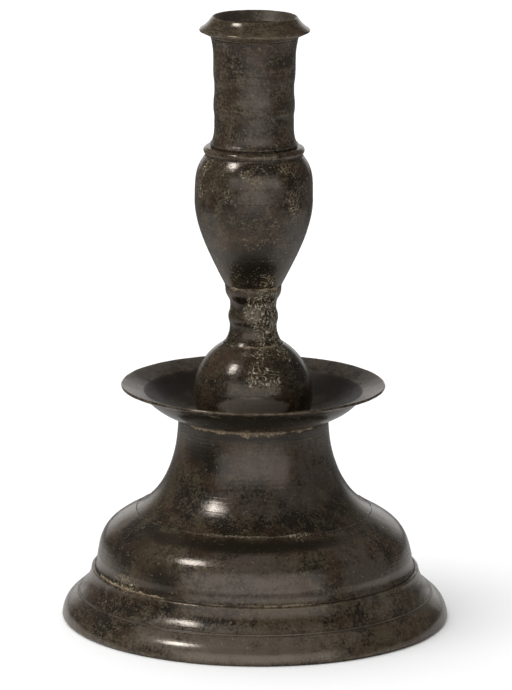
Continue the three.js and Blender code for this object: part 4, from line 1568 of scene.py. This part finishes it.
@dataclass
class Studio:
    """The pale floor, the soft lights and the camera.

    Args:
        aim: The point that the camera looks at.
        distance: The camera's distance from that point.
        pitch: How far the camera looks down, in degrees.
        roll: How far the picture leans, in degrees.
        focus_pixels: The lens's focal length in pixels of the photograph.
        frame_pixels: The photograph's longer side in pixels.
        sensor: The sensor's longer side in millimetres.
        key_toward: Direction in which the key light stands.
        key_width: How wide the key light's bright middle looks, in degrees.
        key_strength: What that middle gives to reflections.
        soft_width: How wide the whole of the key light is, in degrees.
        soft_strength: What it gives a surface that faces it.
        ambient: The soft light that comes from all round.
        lean: How much more of it comes from one side, before it is squared.
        lean_toward: The side that it comes from.
        floor_size: Width of the floor.
        floor_tone: How pale the floor is to the camera, so that it is white where no shadow falls.
        floor_dull: How pale it is in reflections and in the light that it throws back.
        paper_width: How far to either side the floor keeps its brightness in reflections.
        paper_depth: How far back it keeps it.
        apron: Where the strip of floor in front, which looks dimmer in reflections, fades in and out.
        apron_share: How much dimmer it looks.
        unlit_share: How much dimmer the floor looks in reflections where it has lost its brightness.
        floor_roughness: Roughness of the floor.
        card_sides: Where the reflected cards' sides fade, as how squarely a direction faces front or back.
        card_top: Heights of a direction between which the cards fade out.
        card_narrowing: How much narrower the card behind is.
        card_lowering: How much lower it is.
        card_light: Brightness of the card in front.
        card_dimming: How much dimmer the card behind is.
        room_light: Brightness of the rest of the room.
    """

    aim: tuple[float, float, float] = (-0.0003, 0.0, 0.1069)
    distance: float = 1.957
    pitch: float = 12.5
    roll: float = 0.38
    focus_pixels: float = 5100.0
    frame_pixels: float = 690.0
    sensor: float = 36.0
    key_toward: tuple[float, float, float] = (-0.582, -0.310, 0.753)
    key_width: float = 13.0
    key_strength: float = 1.0
    soft_width: float = 50.0
    soft_strength: float = 0.85
    ambient: float = 0.50
    lean: float = 0.80
    lean_toward: tuple[float, float, float] = (-0.50, 0.45, 0.65)
    floor_size: float = 14.0
    floor_tone: float = 0.96
    floor_dull: float = 0.8
    paper_width: tuple[float, float] = (0.42, 0.62)
    paper_depth: tuple[float, float] = (-0.25, 0.5)
    apron: tuple[float, float, float, float] = (-0.62, -0.42, -0.10, -0.04)
    apron_share: float = 0.55
    unlit_share: float = 0.85
    floor_roughness: float = 0.9
    card_sides: tuple[float, float] = (0.52, 0.72)
    card_top: tuple[float, float] = (0.34, 0.56)
    card_narrowing: float = 0.28
    card_lowering: float = 0.17
    card_light: float = 1.2
    card_dimming: float = 0.2
    room_light: float = 0.07

    def build(self) -> None:
        """Sets the camera, the floor, the world and the light."""
        self.set_camera()
        self.lay_floor()
        self.paint_world()
        self.hang_key()
        bpy.context.scene.view_settings.view_transform = "Standard"

    def set_camera(self) -> None:
        """Puts the camera where the photograph was taken from."""
        pitch = math.radians(self.pitch)
        back = Vector((0, -math.cos(pitch), math.sin(pitch)))
        data = bpy.data.cameras.new("camera")
        data.sensor_width = self.sensor
        data.lens = self.focus_pixels * self.sensor / self.frame_pixels
        camera = bpy.data.objects.new("camera", data)
        camera.location = Vector(self.aim) + back * self.distance
        camera.rotation_mode = "XYZ"
        camera.rotation_euler = (math.radians(90) - pitch, 0, 0)
        camera.rotation_euler.rotate_axis("Z", math.radians(self.roll))
        bpy.context.scene.collection.objects.link(camera)
        bpy.context.scene.camera = camera

    def lay_floor(self) -> None:
        """Lays a pale floor that looks white where no shadow falls."""
        mesh = bmesh.new()
        bmesh.ops.create_grid(mesh, x_segments=1, y_segments=1, size=self.floor_size / 2)
        floor = finished("floor", mesh)
        made, bench = new_material("pale_floor")
        path = bench.add("ShaderNodeLightPath").outputs
        axes = bench.add("ShaderNodeSeparateXYZ", {0: bench.place()}).outputs
        beside = bench.ramp(bench.math("ABSOLUTE", axes[0]), *self.paper_width)
        unlit = bench.math("MAXIMUM", beside, bench.ramp(axes[1], *self.paper_depth))
        far, near, start, stop = self.apron
        apron = bench.times(bench.ramp(axes[1], far, near), bench.ramp(axes[1], stop, start))
        unlit = bench.math("MAXIMUM", unlit, bench.times(apron, self.apron_share))
        unseen = bench.times(bench.times(unlit, path["Is Glossy Ray"]), self.unlit_share)
        thrown = bench.mix(unseen, (self.floor_dull,) * 3 + (1,), BLACK)
        tone = bench.mix(path["Is Camera Ray"], thrown, (self.floor_tone,) * 3 + (1,))
        bench.surface({"Base Color": tone, "Roughness": self.floor_roughness, "Specular IOR Level": 0.0})
        floor.data.materials.append(made)

    def paint_world(self) -> None:
        """Makes the surroundings white to the eye, a dim room in reflections, and a soft light."""
        world = bpy.data.worlds.new("surroundings")
        bpy.context.scene.world = world
        world.use_nodes = True
        bench = Bench(world.node_tree)
        path = bench.add("ShaderNodeLightPath").outputs
        toward = bench.add("ShaderNodeTexCoord").outputs["Generated"]
        side = bench.add(
            "ShaderNodeVectorMath", {0: toward, 1: Vector(self.lean_toward).normalized()}, operation="DOT_PRODUCT"
        ).outputs["Value"]
        sided = bench.math("POWER", bench.raised(1.0, (side, self.lean)), 2.0)
        soft = bench.times(sided, self.ambient)
        seen = bench.math("MAXIMUM", path["Is Camera Ray"], path["Is Transmission Ray"])
        inputs = {0: path["Is Glossy Ray"], 2: soft, 3: self.mirrored(bench, toward)}
        strength = bench.add("ShaderNodeMix", inputs).outputs[0]
        strength = bench.add("ShaderNodeMix", {0: seen, 2: strength, 3: 1.0}).outputs[0]
        background = bench.add("ShaderNodeBackground", {"Color": (1, 1, 1, 1), "Strength": strength})
        bench.add("ShaderNodeOutputWorld", {"Surface": background.outputs[0]})

    def mirrored(self, bench: Bench, toward: Wire) -> Wire:
        """What the skin reflects of the room: dark, with a pale card in front and one behind.

        Args:
            bench: The world's bench.
            toward: The direction.

        Returns:
            The room's brightness in that direction.
        """
        across, height = bench.add("ShaderNodeSeparateXYZ", {0: toward}).outputs[1:]
        run = bench.math("SQRT", bench.math("SUBTRACT", 1.0, bench.times(height, height)))
        facing = bench.math("DIVIDE", bench.math("ABSOLUTE", across), bench.math("MAXIMUM", run, 0.01))
        behind = bench.ramp(across, -0.3, 0.3)
        sides = (bench.raised(start, (behind, self.card_narrowing)) for start in self.card_sides)
        over = bench.ramp(bench.raised(height, (behind, self.card_lowering)), *self.card_top)
        card = bench.times(bench.ramp(facing, *sides), bench.math("SUBTRACT", 1.0, over))
        return bench.raised(self.room_light, (card, bench.raised(self.card_light, (behind, -self.card_dimming))))

    def hang_key(self) -> None:
        """Hangs the key light: a wide soft box, whose bright middle is what the skin reflects."""
        self.hang_sun("key_middle", self.key_width, self.key_strength).visible_diffuse = False
        self.hang_sun("key_box", self.soft_width, self.soft_strength).visible_glossy = False

    def hang_sun(self, name: str, width: float, strength: float) -> bpy.types.Object:
        """Hangs a lamp in the key light's direction, so far away that it lights the floor evenly.

        Args:
            name: The lamp's name.
            width: How wide it looks, in degrees.
            strength: What it gives a surface that faces it.

        Returns:
            The lamp.
        """
        data = bpy.data.lights.new(name, "SUN")
        data.angle, data.energy = math.radians(width), strength
        light = bpy.data.objects.new(name, data)
        direction = Vector(self.key_toward).normalized()
        light.location = direction
        light.rotation_mode = "QUATERNION"
        light.rotation_quaternion = direction.to_track_quat("Z", "Y")
        bpy.context.scene.collection.objects.link(light)
        return light


def seams(tube_top: float) -> list[Seam]:
    """The ten soldered joints.

    Args:
        tube_top: Outer radius of the tube under the lip.

    Returns:
        The seams, from the foot to the lip.
    """
    return [
        Seam("solder_foot_to_bell", SeamLook.SOLDERED, reach("bell_body"), 0.15 * MM, steps=800, gaps=((50, 30),),
             crusts=((-58, 16, 0.8), (-42, 9, 0.3), (9, 14, 0.18), (-20, 20, 0.07),
                     (150, 25, 0.4))),
        Seam("solder_bell_to_neck", SeamLook.BURNISHED, reach("bell_neck"), 0.12 * MM, steps=700,
             crusts=((22, 8, 0.5), (-12, 34, 0.14), (190, 20, 0.3))),
        Seam("solder_neck_to_pan", SeamLook.SOLDERED, joint_radius("solder_neck_to_pan"), 0.25 * MM,
             crusts=((5, 22, 0.7), (-36, 24, 0.35), (42, 14, 0.2), (170, 40, 0.4))),
        Seam("solder_pan_to_dome", SeamLook.SOLDERED, joint_radius("solder_pan_to_dome"), 0.25 * MM),
        Seam("solder_dome_to_waist", SeamLook.SOLDERED, reach("waist_knop"), 0.2 * MM, steps=360,
             crusts=((-25, 70, 0.13), (40, 25, 0.25))),
        Seam("solder_waist_to_baluster", SeamLook.SOLDERED, joint_radius("solder_waist_to_baluster"),
             0.12 * MM, crusts=((-30, 45, 0.15), (36, 30, 0.3), (190, 30, 0.25)), steps=360),
        Seam("solder_baluster_halves", SeamLook.HIDDEN, reach("baluster_lower")),
        Seam("solder_baluster_to_socket", SeamLook.SOLDERED, reach("solder_baluster_to_socket"), 0.1 * MM, steps=360),
        Seam("solder_candle_seat", SeamLook.HIDDEN, reach("solder_candle_seat")),
        Seam("solder_socket_to_lip", SeamLook.BURNISHED, tube_top, 0.02 * MM, steps=360),
    ]


def main() -> None:
    """Builds the candlestick from the foot up, then its seams and the studio round it."""
    logging.basicConfig(level=logging.INFO, format="%(name)s: %(message)s")
    noise.seed_set(WANDER_SEED)
    groups = SkinGroups()
    palette = Palette()
    wide = Lathe(steps=256, spacing=1.4 * MM)
    slim = Lathe(steps=200, spacing=0.8 * MM)
    fine = Lathe(steps=160, spacing=0.6 * MM, wander=0.1 * MM)

    Foot(wide, palette.foot.material(groups)).build()
    bell = Bell(wide, palette.bell.material(groups), palette.neck.material(groups))
    bell.build_bell()
    bell.build_neck()
    Pan(wide, palette.pan.material(groups)).build()
    knop_finish = palette.knop.material(groups)
    Knops(slim, knop_finish).build_dome()
    Knops(fine, knop_finish).build_waist()
    vase = Vase(slim, palette.vase.material(groups))
    vase.build_lower()
    vase.build_upper()
    turned = Lathe(steps=192, spacing=1.0 * MM, easing=0.2 * MM)
    socket = Socket(turned, palette.socket.material(groups), palette.lip.material(groups))
    socket.build_tube()
    socket.build_lip()
    socket.build_seat()

    solder = palette.solder.material()
    for seam in seams(socket.tube + socket.upper_band + socket.top_flare):
        seam.build(slim, bell.bell_finish if seam.look is SeamLook.BURNISHED else solder)

    Studio().build()


if __name__ == "__main__":
    main()
